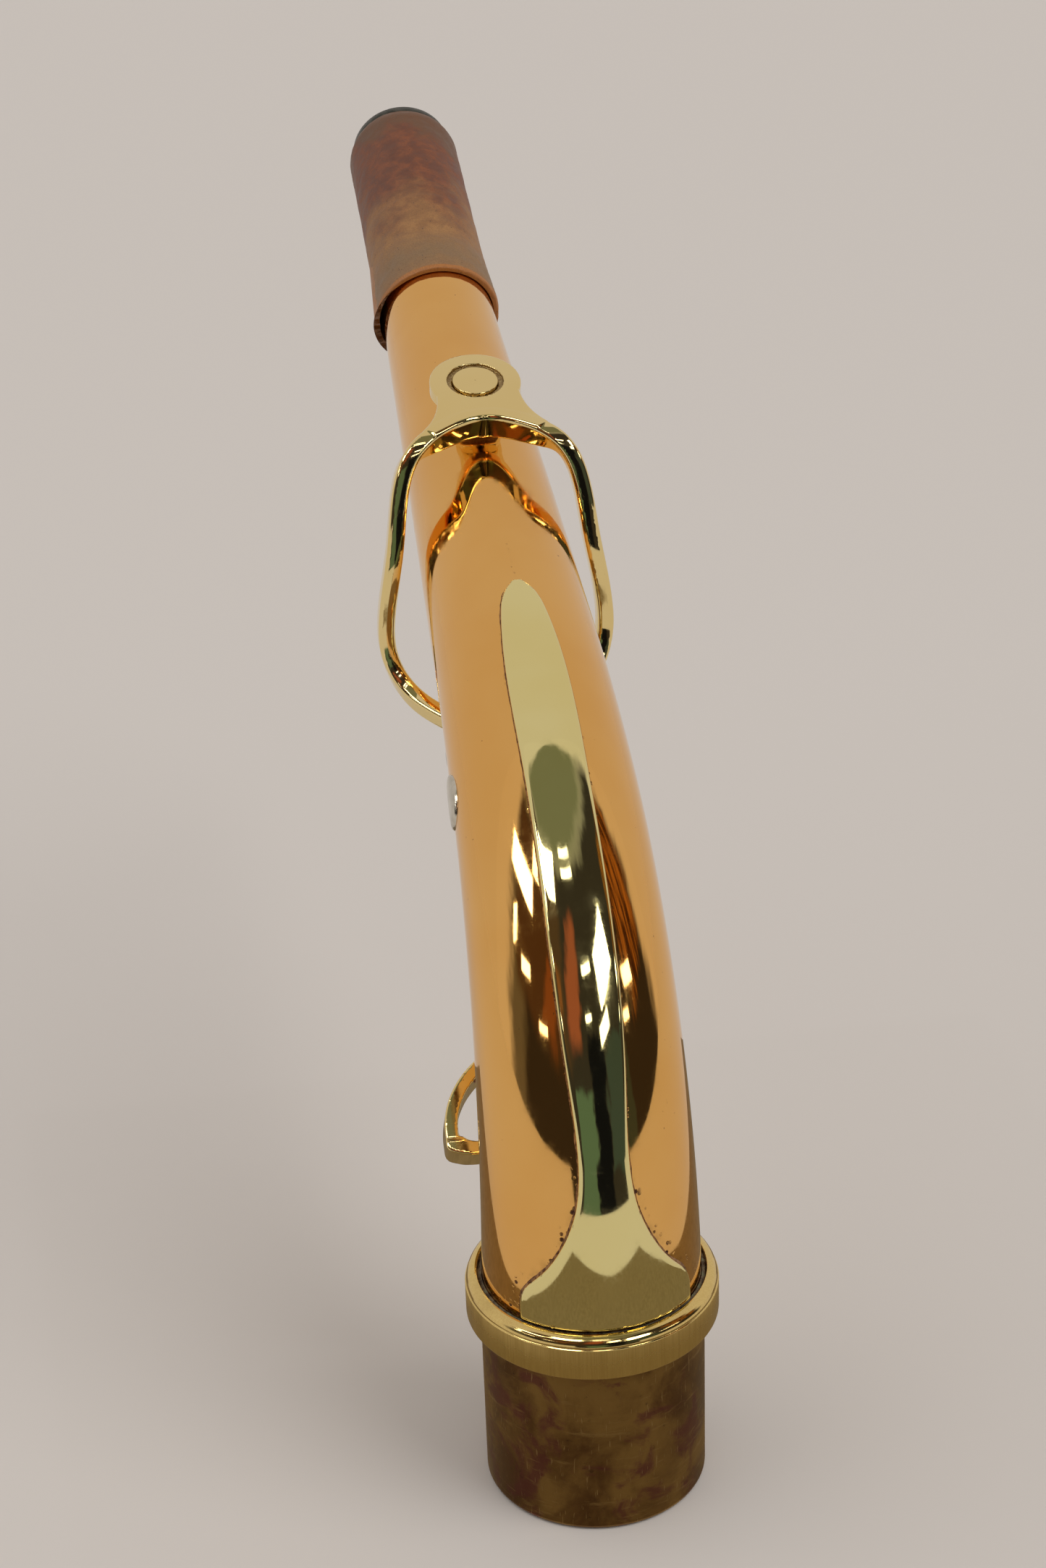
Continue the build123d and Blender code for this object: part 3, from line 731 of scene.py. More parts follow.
faces += [(i * across, (i + 1) * across, (i + 2) * across - 1, (i + 1) * across - 1) for i in range(rows - 1)]
strip = piece("spine_strip_skin", ring, faces, "neck", "polished_brass", STRIP, "spine_strip")
mark(strip, "seam", nearness)

# thin solder line round the strip
ring = []
outline = [tuple(at) for at in strip_edge] + [(STRIP_END + 0.25, 0.56), (STRIP_END + 0.42, 0.0)]
path = np.array(outline + [(s, -w) for s, w in reversed(outline[:-1])])
tangent = np.gradient(path, axis=0)
tangent /= np.linalg.norm(tangent, axis=1, keepdims=True)
outward = np.stack([-tangent[:, 1], tangent[:, 0]], 1)
for (s, w), (ns, nw) in zip(path, outward):
    wide = 0.17 + 0.10 * noise.noise(Vector((s * 0.8, w * 0.8, 3.1))) + 0.22 * math.exp(-s / 7.0)
    fillet = [(-0.15, 0.24), (0.06, 0.22), (wide * 0.6, 0.08), (wide, 0.012)]
    fillet += [(wide + 0.1, -0.15), (-0.15, -0.2)]
    for off, lift in fillet:
        ss, ww = s + ns * off, w + nw * off
        centre, out = bent(ss)
        a = ww / (float(tube_r(ss)) + 0.35)
        ring.append(centre + (float(tube_r(ss)) + lift) * (math.cos(a) * out + math.sin(a) * X))
rows = len(path)
faces = [(i * 6 + j, i * 6 + (j + 1) % 6, (i + 1) * 6 + (j + 1) % 6, (i + 1) * 6 + j)
         for i in range(rows - 1) for j in range(6)]
faces += [tuple(range(6)), tuple(range((rows - 1) * 6, rows * 6))]
piece("strip_solder_line", ring, faces, "neck", "solder", SEAM)

# ---- collar, tenon, solder ring

low_z = box_mm("collar")[0][2]
collar_r, _, high_z = box_mm("collar")[1]
tenon_r, _, tenon_top = box_mm("tenon")[1]
RIM_R = 1.3
rim = [(collar_r - 0.16 - RIM_R + RIM_R * math.cos(a), high_z - RIM_R + RIM_R * math.sin(a), 0.05)
       for a in np.linspace(0, math.pi / 2, 9)]
outline = eased([
    (tenon_r + 0.02, low_z, 0.03), (collar_r - 0.02, low_z, 0.22),
    (collar_r - 0.02, high_z - RIM_R - 0.12, 0.05),
    *rim, (TUBE_R_LOW + 0.62, high_z - 0.12, 0.1), (TUBE_R_LOW + 0.5, high_z - 0.8, 0.1),
    (TUBE_R_LOW + 0.03, high_z - 1.5, 0.1), (TUBE_R_LOW + 0.03, high_z - 4.2, 0.05),
], steps=5)
COLLAR_TURNS = 192
points, faces = swept(outline, upright, COLLAR_TURNS)
collar = piece("collar_band", points, faces, "neck", "collar_brass", COLLAR, "collar")
face = [1.0 if r > collar_r - 0.1 and low_z + 0.3 < z < high_z - RIM_R - 0.1 else 0.0 for r, z in outline]
mark(collar, "brushed", np.repeat(face, COLLAR_TURNS))

bore = tenon_r - 1.05
necked = tenon_r - 0.30
outline = eased([(bore, 0, 0.3), (tenon_r, 0, 0.35), (tenon_r, low_z - 0.1, 0.1), (necked, low_z + 0.1, 0.1),
                 (necked, tenon_top, 0.15), (bore, tenon_top, 0.15)])


def noise_round(angle, scale, distance):
    """Noise at each angle round a band, its features smaller as scale grows."""
    return np.array([noise.noise(Vector((math.cos(a) * scale, math.sin(a) * scale, distance))) for a in angle])


def dents(radius, distance, angle):
    return -0.012 * (1 + noise_round(angle, 1.6, distance * 0.12)) if radius > bore + 0.5 else 0.0


points, faces = swept(finer(outline, 0.8), upright, 160, dents)
piece("tenon_sleeve", points, faces, "neck", "raw_brass", TENON, "tenon")

low_ring = box_mm("solder_ring")[0][2]


def lumps(radius, distance, angle):
    """Solder stands unevenly in the groove."""
    depth = 0.16 if radius > TUBE_R_LOW + 0.3 else 0.0
    return depth * (noise_round(angle, 7, distance) - 0.4)


outline = eased([(TUBE_R_LOW + 0.04, low_ring), (TUBE_R_LOW + 0.45, low_ring + 0.45),
                 (TUBE_R_LOW + 0.62, low_ring + 0.8), (TUBE_R_LOW + 0.04, low_ring + 1.1)], 0.12)
points, faces = swept(outline, upright, 256, lumps)
piece("solder_bead", points, faces, "neck", "solder", SOLDER, "solder_ring")

# ---- cork and ferrule

CORK_START, CORK_LONG, CORK_RIM, CORK_R = 158.8, 44.6, 9.35, 8.70
inner = float(tube_r(CORK_START)) + 0.12
corners = eased([(inner, 0, 0.12), (CORK_RIM - 0.15, 0.0, 0.25), (CORK_RIM - 0.02, 0.8, 0.5),
                 (CORK_R, 13.0, 2.0), (CORK_R, CORK_LONG - 1.8, 0.8), (CORK_R - 0.75, CORK_LONG, 0.5),
                 (6.95, CORK_LONG, 0.1)])
dense = finer(corners, 0.35, 8.6)


def worn(radius, distance, angle):
    """Grain, small chips at the rim, and wear where the mouthpiece grips."""
    made = []
    outer_skin = radius > inner + 0.35 or distance > 20
    for a in angle:
        at = Vector((math.cos(a) * radius, math.sin(a) * radius, distance))
        v = 0.05 * noise.noise(at * 0.35) + 0.035 * noise.noise(at * 1.4) - 0.05
        if distance < 1.6:
            v -= 0.14 * max(0.0, noise.noise(at * 0.9 + Vector((7, 0, 0))))
        lifted = 1.25 * math.exp(-distance / 2.2) * max(0.0, math.cos(a + 1.75)) ** 3
        if radius < inner + 0.35 and distance < 8:
            v = lifted
        elif not (outer_skin and radius > 7.2):
            v = 0.0
        made.append(v)
    return np.array(made)


CORK_TURNS = 168
points, faces = swept(dense, straight(CORK_START), CORK_TURNS, worn)
cork = piece("mouth_cork_sleeve", points, faces, "neck", "cork", CORK, "mouth_cork")
far = np.array([d / CORK_LONG for r, d in dense])
mark(cork, "worn", np.repeat(far, CORK_TURNS))
# the rim's outer edge, where the cork carries a painted highlight
mark(cork, "rim", np.repeat([1.0 if d < 0.75 and r > 8.2 else 0.0 for r, d in dense], CORK_TURNS))
mark(cork, "band", np.repeat(np.exp(-((far * CORK_LONG - 4.5) / 4.2) ** 2), CORK_TURNS))

FERRULE_START = 203.45
outline = eased([(6.9, 0.02, 0.05), (7.85, 0.02, 0.1), (7.86, 0.5, 0.2),
                 (7.66, 1.5, 0.3), (7.2, 1.87, 0.2), (6.9, 1.87, 0.1)])
points, faces = swept(outline, straight(FERRULE_START), 128)
piece("mouth_ferrule", points, faces, "neck", "aged_nickel", NICKEL, "mouth_ring")

# ---- octave key: loop and plate

TOP = 14.95
LOOP_LINE = [(0, 7.3, 14.95), (4.3, 8.55, 14.95), (7.4, 10.8, 14.85), (9.6, 12.8, 13.9), (11.2, 14.5, 11.8)]
LOOP_LINE += [(12.15, 16.1, 9.0), (12.7, 17.7, 6.0), (13.2, 19.3, 2.5), (13.75, 20.5, -0.5)]
LOOP_LINE += [(14.4, 21.6, -4.0), (14.9, 22.6, -7.5), (15.0, 23.6, -10.5), (14.35, 25.0, -13.1)]
LOOP_LINE += [(12.7, 27.2, -14.9), (10.0, 30.2, -15.6), (6.5, 33.5, -15.8), (3.0, 36.1, -15.8)]
LOOP_LINE += [(0, 36.9, -15.8)]
LOOP_WIDE = 2.25
LOOP_DEEP = [3.6, 3.55, 3.5, 3.4, 3.3, 3.15, 3.0, 2.95, 2.9, 2.85, 2.8, 2.75, 2.7, 2.7, 2.65, 2.6, 2.6, 2.6]
LOOP_ROUND = 0.5
LOOP_SOFT = 24


class Strap:
    """The bent strap as a distance: a rounded bar carried along the loop's line."""

    def __init__(self, cell=1.0):
        half = np.hstack([np.array(LOOP_LINE), np.array(LOOP_DEEP)[:, None]])
        mirror = half * (-1, 1, 1, 1)
        line = smooth_line(np.vstack([mirror[3:0:-1], half, mirror[-2:-5:-1]]), spacing=0.3)
        for _ in range(LOOP_SOFT):
            line[1:-1] = (line[:-2] + 2 * line[1:-1] + line[2:]) / 4
        self.at, self.deep = line[:, :3], line[:, 3]
        along = np.gradient(self.at, axis=0)
        along /= np.linalg.norm(along, axis=1, keepdims=True)
        face = np.stack([0 * along[:, 0], -along[:, 2], along[:, 1] + 0.05], 1)
        face -= (face * along).sum(1)[:, None] * along
        self.face = face / np.linalg.norm(face, axis=1, keepdims=True)
        self.side = np.cross(along, self.face)
        self.low, self.cell = np.array([-1.0, -8.0, -21.0]), cell
        axes = [self.low[k] + np.arange(int(span / cell)) * cell for k, span in enumerate((20, 50, 39))]
        middle = self.at - self.face * self.deep[:, None] / 2
        away = [np.expand_dims(axes[k], [d for d in range(4) if d != k]) - middle[:, k] for k in range(3)]
        self.table = sum(a ** 2 for a in away).argmin(3)

    def curve(self, place):
        """Point, speed and turn of a smooth curve through the samples, place counted in samples."""
        k = place.astype(int)
        t = (place - k)[:, None]
        a, b, c, d = (self.at[k + shift] for shift in (-1, 0, 1, 2))
        one, two, three = (c - a) / 2, a - 2.5 * b + 2 * c - d / 2, (3 * b - 3 * c + d - a) / 2
        on = b + one * t + two * t * t + three * t ** 3
        return on, one + 2 * two * t + 3 * three * t * t, 2 * two + 6 * three * t

    def __call__(self, p):
        p = np.column_stack([np.abs(p[:, 0]), p[:, 1:]])
        spot = np.rint((p - self.low) / self.cell).astype(int)
        spot = np.clip(spot, 0, np.array(self.table.shape) - 1)
        near = self.table[tuple(spot.T)]
        best = np.full(len(p), 1e9)
        index = np.zeros(len(p), int)
        share = np.zeros(len(p))
        for shift in range(-4, 5):
            k = np.clip(near + shift, 0, len(self.at) - 2)
            step = self.at[k + 1] - self.at[k]
            t = np.clip(((p - self.at[k]) * step).sum(1) / (step * step).sum(1), 0, 1)
            gap = ((p - self.at[k] - t[:, None] * step) ** 2).sum(1)
            closer = gap < best
            best = np.where(closer, gap, best)
            index, share = np.where(closer, k, index), np.where(closer, t, share)
        ends = 1.001, len(self.at) - 3.001
        place = np.clip(index + share, *ends)
        for _ in range(3):
            on, speed, turn = self.curve(place)
            slope = ((p - on) * turn).sum(1) - (speed * speed).sum(1)
            move = ((p - on) * speed).sum(1) / np.minimum(slope, -0.005)
            place = np.clip(place - np.clip(move, -1, 1), *ends)
        index = place.astype(int)
        share = place - index
        on = self.curve(place)[0]

        def between(values):
            t = share if values.ndim == 1 else share[:, None]
            return values[index] * (1 - t) + values[index + 1] * t

        away = p - on
        across = (away * between(self.side)).sum(1)
        out = (away * between(self.face)).sum(1)
        deep = between(self.deep) / 2
        out = out + deep + 0.10 * np.clip(across / LOOP_WIDE * 2, -1, 1) ** 2 * (out > -deep)
        u = np.abs(across) - LOOP_WIDE / 2 + LOOP_ROUND
        v = np.abs(out) - deep + LOOP_ROUND
        return np.hypot(np.maximum(u, 0), np.maximum(v, 0)) + np.minimum(np.maximum(u, v), 0) - LOOP_ROUND


strap_distance = Strap()
flare = [(5.6, 2.66), (5.75, 4.2), (6.3, 6.6), (7.4, 8.9), (8.3, 10.2)]
PLATE_R = 6.2
arc = [(PLATE_R * math.cos(a), -PLATE_R * math.sin(a)) for a in np.radians(np.linspace(-25.4, 205.4, 90))]
flare = smooth_line(flare, spacing=0.3)
arch = smooth_line([(6.9, 11.3), (3.85, 9.3), (0, 8.2), (-3.85, 9.3), (-6.9, 11.3)], spacing=0.3)
plate_edge = Outline(np.vstack([arc[::-1][:-1], flare, arch, (flare * (-1, 1))[::-1][:-1]]))
BARREL = np.array([40.0, -16.5])
BARREL_BORE, SCREW_BORE, SCREW_BACK = 2.43, 0.73, 33.9
GROOVE_OUT, GROOVE_IN, GROOVE_DEEP = 3.82, 3.12, 0.45
PLATE_THICK = 2.0


def key_field(p):
    """Distance to the loop, its round plate and the tongue, in the pad's own frame."""
    x, b, o = p.T
    made = strap_distance(p)
    near = (b < 14) & (o > 9)
    plate = np.full(len(x), 9.0)
    if near.any():
        slab = np.abs(o[near] - TOP + PLATE_THICK / 2) - PLATE_THICK / 2
        plate[near] = meet(plate_edge(x[near], b[near]), slab, 0.32)
    made = join(made, plate, 0.25)
    radial = np.hypot(x, b)
    groove = meet(radial - GROOVE_OUT, (TOP - GROOVE_DEEP) - o, 0.06)
    made = meet(made, -groove, 0.10)
    made = np.maximum(made, -(radial - GROOVE_IN))
    box = np.maximum(np.maximum(np.abs(x) - 4.8, np.abs(b - 33.6) - 4.2), np.abs(o + 16.6) - 0.8)
    made = join(made, box, 0.3)
    made = np.maximum(made, BARREL_BORE - np.hypot(b - BARREL[0], o - BARREL[1]))
    return np.maximum(made, SCREW_BORE - np.hypot(x, b - SCREW_BACK))


points, faces, normals = solid(key_field, (-17.2, -7.0, -19.4), (17.2, 40.6, 15.8), 0.25)
key = piece("key_loop_skin", from_key(points), faces, "octave_key", "key_brass", KEY, "key_loop",
            normals=from_key(normals) - PAD_CENTRE)
radial = np.hypot(points[:, 0], points[:, 1])
sunk = np.clip((TOP - 0.03 - points[:, 2]) / 0.12, 0, 1)
mark(key, "dull", (radial < 3.95) * (radial > 3.0) * sunk * (points[:, 2] > 13))

# pad cup with its spigot shown in the middle of the plate


def key_line(d):
    """Axis out of the neck through the pad's centre."""
    return PAD_CENTRE + OUT * d, BACK


outline = eased([(0.05, TOP - 2.6, 0.01), (4.5, TOP - 2.6, 0.1), (4.55, 11.3, 0.1), (5.15, 11.3, 0.2),
                 (5.15, 12.9, 0.3), (3.08, 12.9, 0.1), (3.08, TOP - 0.02, 0.14), (0.05, TOP - 0.02, 0.01)])
points, faces = swept(outline, key_line, 96)
piece("pad_cup_turned", points, faces, "octave_key", "key_brass", KEY, "pad_cup")

# ---- lower ring and lever

RING_Y, RING_Z, RING_TILT = 16.5, 38.0, math.radians(40.0)
RING_OUT = np.array([0, math.cos(RING_TILT), math.sin(RING_TILT)])
RING_UP = np.array([0, -math.sin(RING_TILT), math.cos(RING_TILT)])
RING_AT = np.array([0, RING_Y, RING_Z])
RING_HALF_WIDE, RING_DEEP, RING_WALL = 15.4, 13.4, 1.7
RING_LOW, RING_TOP, BAR_TOP = -3.7, 1.3, 0.9


def half_oval(inset, base):
    """Half an oval with a straight bar across its open side, inset on the round side."""
    wide, deep = RING_HALF_WIDE - inset, RING_DEEP - inset
    curve = []
    for step in range(9):
        a = math.pi * step / 8
        curve.append((wide * math.cos(a), 0.8 + (deep - 0.8) * math.sin(a)))
    corner = 2.6 - inset * 0.5
    bow = smooth_line(curve, spacing=0.4, ends=[(0, 1), (0, -1)])
    back = [(-wide, base + 0.9, 0.9), (-wide + corner, base, 1.2)]
    back += [(wide - corner, base, 1.2), (wide, base + 0.9, 0.9)]
    return eased([tuple(c) + (0.05,) for c in bow] + back)


oval_out, oval_in = Outline(half_oval(0.0, -2.2)), Outline(half_oval(RING_WALL, -0.4))


def ring_field(p):
    """Distance to the ring, its bar a little lower than its bow."""
    e = (p - RING_AT) @ RING_OUT
    n = (p - RING_AT) @ RING_UP
    x = p[:, 0]
    flat = np.maximum(oval_out(x, e), -oval_in(x, e))
    step = np.clip((e + 0.25) / 0.5, 0, 1)
    top = BAR_TOP + (RING_TOP - BAR_TOP) * step * step * (3 - 2 * step)
    return meet(flat, np.maximum(n - top, RING_LOW - n), 0.32)


points, faces, normals = solid(ring_field, *box_mm("lower_ring", 0.6), 0.25)
piece("lower_ring_skin", points, faces, "octave_key", "key_brass", KEY, "lower_ring", normals=normals)

LEVER_HALF_WIDE, LEVER_HALF_THICK, LEVER_BOW = 2.1, 1.2, 2.2
far = RING_AT + RING_OUT * 12.1
away = np.array([0, HINGE[2] - far[2], far[1] - HINGE[1]])
away /= np.linalg.norm(away)
middle = (far + HINGE) / 2 + away * LEVER_BOW
t = np.linspace(0, 1, 40)[:, None]
control = 2 * middle - (far + HINGE) / 2
lever_line = far * (1 - t) ** 2 + 2 * control * t * (1 - t) + HINGE * t * t
aside = away * LEVER_HALF_THICK
lever_edge = Outline(np.vstack([(lever_line + aside)[:, 1:], (lever_line - aside)[::-1, 1:]]))


def lever_field(p):
    """Distance to the bar from the barrel to the ring."""
    side = lever_edge(p[:, 1], p[:, 2])
    made = meet(side, np.abs(p[:, 0]) - LEVER_HALF_WIDE, 0.7)
    made = np.maximum(made, BARREL_BORE - np.hypot(p[:, 1] - HINGE[1], p[:, 2] - HINGE[2]))
    e = (p - RING_AT) @ RING_OUT
    inside = oval_out(p[:, 0], e) - 0.03
    return np.maximum(made, -inside)


points, faces, normals = solid(lever_field, *box_mm("key_lever", 0.6), 0.3)
piece("key_lever_skin", points, faces, "octave_key", "key_brass", KEY, "key_lever", normals=normals)

# thin oval badge on the left side, left plain

_, badge_y, badge_z = sum(box_mm("plain_plaque")) / 2
badge_s = min(np.arange(20, 80, 0.1), key=lambda s: math.dist(centreline(s)[:2], (badge_y, badge_z)))
BADGE_LONG, BADGE_WIDE, BADGE_HIGH, BADGE_SUNK = 3.7, 3.1, 0.52, -0.12
RINGS, ROUND = 14, 64
points = []
for face in ("front", "back"):
    for i in range(RINGS + 1):
        rho = i / RINGS
        height = BADGE_HIGH * (1 - rho ** 6) ** 0.5 - 0.05 if face == "front" else BADGE_SUNK
        for j in range(ROUND if i else 1):
            a = 2 * math.pi * j / ROUND
            ss, ww = badge_s + BADGE_LONG * rho * math.cos(a), BADGE_WIDE * rho * math.sin(a)
            centre, out = bent(ss)
            t = math.pi / 2 + ww / float(tube_r(ss))
            points.append(centre + (float(tube_r(ss)) + height) * (math.cos(t) * out - math.sin(t) * X))
faces = []
size = 1 + RINGS * ROUND
for start in (0, size):
    faces += [(start, start + 1 + j, start + 1 + (j + 1) % ROUND) for j in range(ROUND)]
    for i in range(RINGS - 1):
        a, b = start + 1 + i * ROUND, start + 1 + (i + 1) * ROUND
        faces += [(a + j, b + j, b + (j + 1) % ROUND, a + (j + 1) % ROUND) for j in range(ROUND)]
edge = 1 + (RINGS - 1) * ROUND
for j in range(ROUND):
    k = (j + 1) % ROUND
    faces.append((edge + j, size + edge + j, size + edge + k, edge + k))
piece("plain_badge", points, faces, "neck", "nickel_silver", SILVER, "plain_plaque")

# ---- pieces kept from the CAD

FINISH = [
    (STRIP, "octave_vent", "post_saddle", "post_left", "post_right"), (STEEL, "hinge_rod", "spring_screw"),
    (SILVER, "spring_slide"), (KEY, "hinge_barrel"), (BLUED, "flat_spring"), (CARD, "pad_card"),
    (FELT, "pad_felt", "ring_lining"), (LEATHER, "pad_leather"), (STOP_CORK, "stop_corks"),
]
for material, *names in FINISH:
    for name in names:
        dress(frame["nodes"][name], material)

# the spring's leaf, root at the key and tip on the slide plate: a copy of the CAD spring cut across into thin
# slices between them

LEAF_ROOT, LEAF_TIP = 29.2, 22.3
leaf = linked("spring_leaf", frame["nodes"]["flat_spring"].data.copy())
leaf.matrix_world = frame["nodes"]["flat_spring"].matrix_world
work = bmesh.new()
work.from_mesh(leaf.data)
for back in np.arange(LEAF_TIP - 1.0, LEAF_ROOT + 1.0, 0.4):
    every = work.verts[:] + work.edges[:] + work.faces[:]
    bmesh.ops.bisect_plane(work, geom=every, plane_co=(PAD_CENTRE + BACK * back) * 0.001, plane_no=BACK)
work.to_mesh(leaf.data)
work.free()
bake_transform(leaf)
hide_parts("flat_spring")
dress(leaf, BLUED)

# ---- camera

CAMERA_AT = (-0.0419, -0.2482, 0.2043)
YAW, PITCH, ROLL = math.radians(8.15), math.radians(23.83), math.radians(-2.0)
forward = Vector((math.sin(YAW) * math.cos(PITCH), math.cos(YAW) * math.cos(PITCH), -math.sin(PITCH)))
right = Vector((math.cos(YAW), -math.sin(YAW), 0))
up = right.cross(forward)
right, up = right * math.cos(ROLL) + up * math.sin(ROLL), up * math.cos(ROLL) - right * math.sin(ROLL)
data = bpy.data.cameras.new("camera")
data.lens = 56.7
data.sensor_width = 36.0
data.clip_start = 0.01
camera = linked("camera", data)
turned = Matrix((right, up, -forward)).transposed().to_4x4()
camera.matrix_world = Matrix.Translation(CAMERA_AT) @ turned
bpy.context.scene.camera = camera

# ---- floor, light and what the metal mirrors


def stage_mesh(name, points, faces, material, mirrored=True):
    """A stage piece; a mirrored one is seen only in reflections."""
    mesh = bpy.data.meshes.new(name)
    mesh.from_pydata([tuple(map(float, p)) for p in points], [], faces)
    mesh.materials.append(material)
    made = linked(name, mesh)
    if mirrored:
        made.visible_camera = False
        made.visible_diffuse = False
        made.visible_shadow = False
    made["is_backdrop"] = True


FLOOR_HALF, FLOOR_MIDDLE, FLOOR_Z = 4.5, 0.4, -0.0002
m = Surface("floor")
m.set(Base_Color=(0.60, 0.585, 0.57, 1.0), Roughness=0.9)
signs = (-1, -1), (1, -1), (1, 1), (-1, 1)
corners = [(a * FLOOR_HALF, FLOOR_MIDDLE + b * FLOOR_HALF, FLOOR_Z) for a, b in signs]
stage_mesh("floor", corners, [(0, 1, 2, 3)], m.material, mirrored=False)
world = bpy.data.worlds.new("studio")
bpy.context.scene.world = world
world.use_nodes = True
background = world.node_tree.nodes["Background"]
background.inputs["Color"].default_value = (0.58, 0.53, 0.49, 1)
background.inputs["Strength"].default_value = 1.0


DEGREES = 57.3
SEEN_FROM = 0.07
SCREEN_FAR, LAMP_FAR = 1.4, 1.3
PATCHES = [
    ((0.034, 0.028, 0.024), 4, 172, 20, 84, 9),
    ((0.165, 0.17, 0.12), 4, 172, 96, 68, 10),
    ((0.13, 0.12, 0.105), -76, 16, 14, 60, 10),
    ((0.075, 0.043, 0.025), -50, 60, 38, 42, 8),
    ((0.21, 0.08, 0.03), -37, 17, 28, 17, 5, 0.5),
    ((0.09, 0.14, 0.10), -6, 17, -2, 32),
    ((0.30, 0.085, 0.045), -9, 13, 37, 26, 5, 0.25),
    ((0.006, 0.006, 0.008), 10, 14, 4, 44),
    ((0.045, 0.06, 0.055), 33, 30, 8, 26),
]


def screen_material():
    """What stands round the camera: dark screens, a few coloured ones, a pale wall beyond."""
    m = Surface("screens")
    x, y, z = m.node("SeparateXYZ", Vector=m.place).outputs
    turn = m.times(m.maths("ARCTAN2", x, m.times(y, -1.0)), DEGREES)
    reach = m.maths("SQRT", m.plus(m.times(x, x), m.times(y, y)))
    rise = m.times(m.maths("ARCTAN2", m.less(z, SEEN_FROM), reach), DEGREES)
    spot = m.node("CombineXYZ", X=turn, Y=rise).outputs[0]
    shake = m.noise(0.07, 3.0, 0.6, spot)
    turn = m.plus(turn, m.ramp(shake, 0.2, 0.8, -4.0, 4.0))
    rise = m.plus(rise, m.ramp(shake, 0.2, 0.8, 2.5, -2.5))
    streak = m.node("Mapping", Vector=spot, Scale=(0.5, 0.06, 1), Rotation=(0, 0, 0.5)).outputs[0]
    streaks = m.noise(1.0, 3.0, 0.6, streak)

    def lay(under, colour, turn_at, wide, rise_at, tall, soft=2.5, lean=0.0):
        """A soft-edged patch over what is already there; places and sizes in degrees."""
        off = m.less(turn, turn_at)
        up_by = m.less(rise, rise_at)
        off = m.less(off, m.times(up_by, lean)) if lean else off
        a = m.ramp(m.maths("ABSOLUTE", off), (wide - soft) / 2, (wide + soft) / 2, 1.0, 0.0)
        b = m.ramp(m.maths("ABSOLUTE", up_by), (tall - soft) / 2, (tall + soft) / 2, 1.0, 0.0)
        return m.mix(m.times(a, b), under, colour)

    made = (0.60, 0.55, 0.51)
    for patch in PATCHES:
        made = lay(made, *patch)
    warm = m.mix(m.ramp(streaks, 0.42, 0.6), (0.05, 0.02, 0.008), (0.34, 0.14, 0.03))
    made = lay(made, warm, 75, 26, 31, 34, 5)
    m.material.cycles.emission_sampling = "NONE"
    return m.glow(made)


def toward(turn, rise, far):
    """A point seen from the neck at a turn from the camera's side and a rise, in degrees."""
    turn, rise = math.radians(turn), math.radians(rise)
    flat = Vector((math.sin(turn), -math.cos(turn), 0)) * math.cos(rise)
    return (flat + Vector((0, 0, math.sin(rise)))) * far + Vector((0, 0, SEEN_FROM))


SCREENS = screen_material()
ROWS, WIDE = 40, 81
rises, turns = np.linspace(-3.5, 90, ROWS + 1), np.linspace(-100, 100, WIDE)
points = [toward(turn, rise, SCREEN_FAR) for rise in rises for turn in turns]
faces = [(k, k + 1, k + WIDE + 1, k + WIDE) for k in range(ROWS * WIDE) if k % WIDE < WIDE - 1]
stage_mesh("screens", points, faces, SCREENS)
apron = [(-0.10, -0.24, 0), (0.13, -0.24, 0), (0.75, -1.38, 0), (-0.65, -1.38, 0)]
stage_mesh("dark_apron", apron, [(0, 1, 2, 3)], SCREENS)

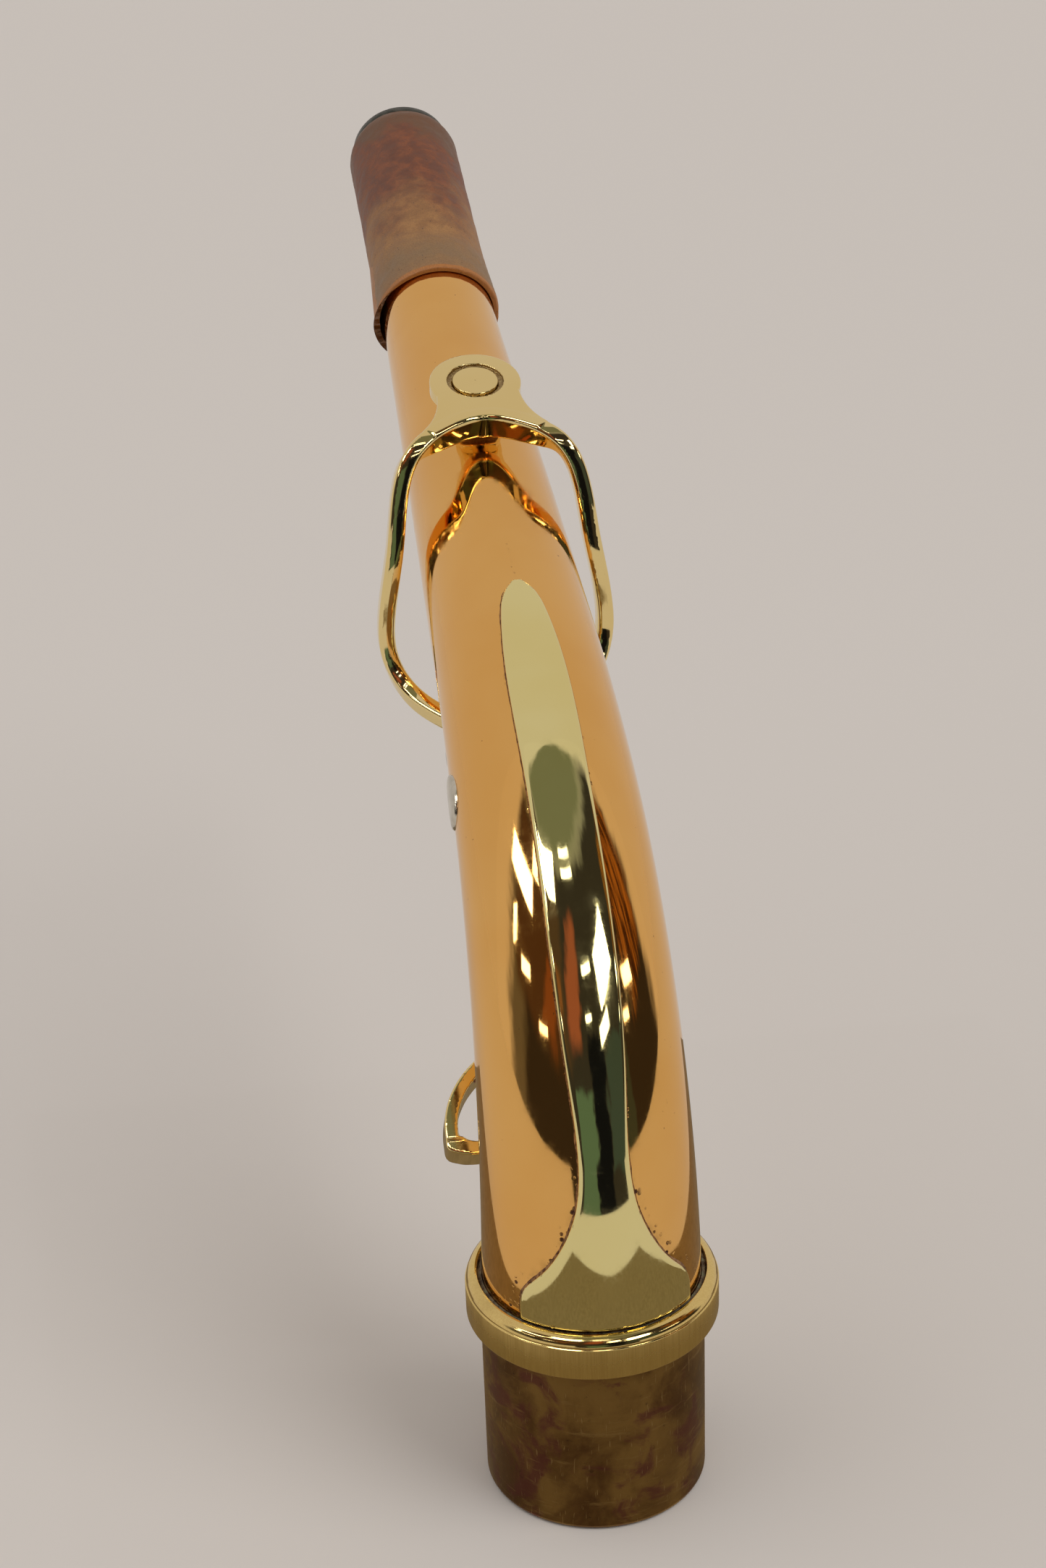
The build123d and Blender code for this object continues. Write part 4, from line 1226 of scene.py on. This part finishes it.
felt = Surface("grey_cloth")
nap = felt.noise(0.5, 4.0)
felt.glow(felt.mix(felt.ramp(nap, 0.3, 0.7), (0.165, 0.125, 0.075), (0.21, 0.16, 0.10)))
felt.material.cycles.emission_sampling = "NONE"
cloth = [(-0.056, -0.116), (0.014, -0.098), (0.069, -0.099), (0.078, -0.02)]
cloth += [(0.084, 0.10), (-0.074, 0.10), (-0.066, 0)]
stage_mesh("grey_cloth", [(x, y, 0.0004) for x, y in cloth], [tuple(range(len(cloth)))], felt.material)

# turn, rise, width, height, lean and strength of each lamp, angles in degrees

LAMPS = [(-72, 41.5, 19, 9, 0.15, 8.0), (-79, 25.5, 3.5, 8, 0.9, 6.0), (-67, 23.5, 9, 3, 0.35, 6.0)]
LAMPS += [(-48, 19.5, 9, 2, 0.2, 5.0), (63, 22, 11, 4, -0.4, 6.0), (53, 18.5, 7, 2, -0.3, 5.0)]
LAMPS += [(-42, 56, 20, 11, 0.2, 6.0), (33, 37, 17, 12, 0.3, 9.0), (10, 39, 9, 2, 0.0, 6.0)]
LAMPS += [(6, 29, 6, 1.5, 0.0, 5.0), (23, 25, 11, 4, 0.2, 4.0)]
LAMPS += [(1, 60.0, 11, 2.2, 0.0, 3.5), (1, 64.5, 10, 2.2, 0.0, 3.5)]
for number, (turn, rise, wide, tall, lean, power) in enumerate(LAMPS):
    face = Surface("lamp_face").glow((1.0, 0.97, 0.93, 1.0), power)
    parts = 8
    edge = []
    for level in (-0.5, 0.5):
        for k in range(parts + 1):
            off = (k / parts - 0.5) * wide
            place = turn + off / math.cos(math.radians(rise))
            edge.append(toward(place, rise + level * tall + off * lean, LAMP_FAR))
    faces = [(k, k + 1, k + parts + 2, k + parts + 1) for k in range(parts)]
    stage_mesh(f"lamp_{number}", edge, faces, face)

SUNS = [("soft_key", (0.55, -0.40, 0.80), 38, 1.15), ("soft_fill", (-0.7, 0.1, 0.7), 60, 0.40)]
for name, toward_light, soft, power in SUNS:
    lamp = bpy.data.lights.new(name, "SUN")
    lamp.angle = math.radians(soft)
    lamp.energy = power
    lamp.color = (1.0, 0.96, 0.92)
    made = linked(name, lamp)
    made.rotation_euler = (-Vector(toward_light)).to_track_quat("-Z", "Y").to_euler()
    made.visible_glossy = False

bpy.context.scene.view_settings.view_transform = "Standard"

low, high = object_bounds()
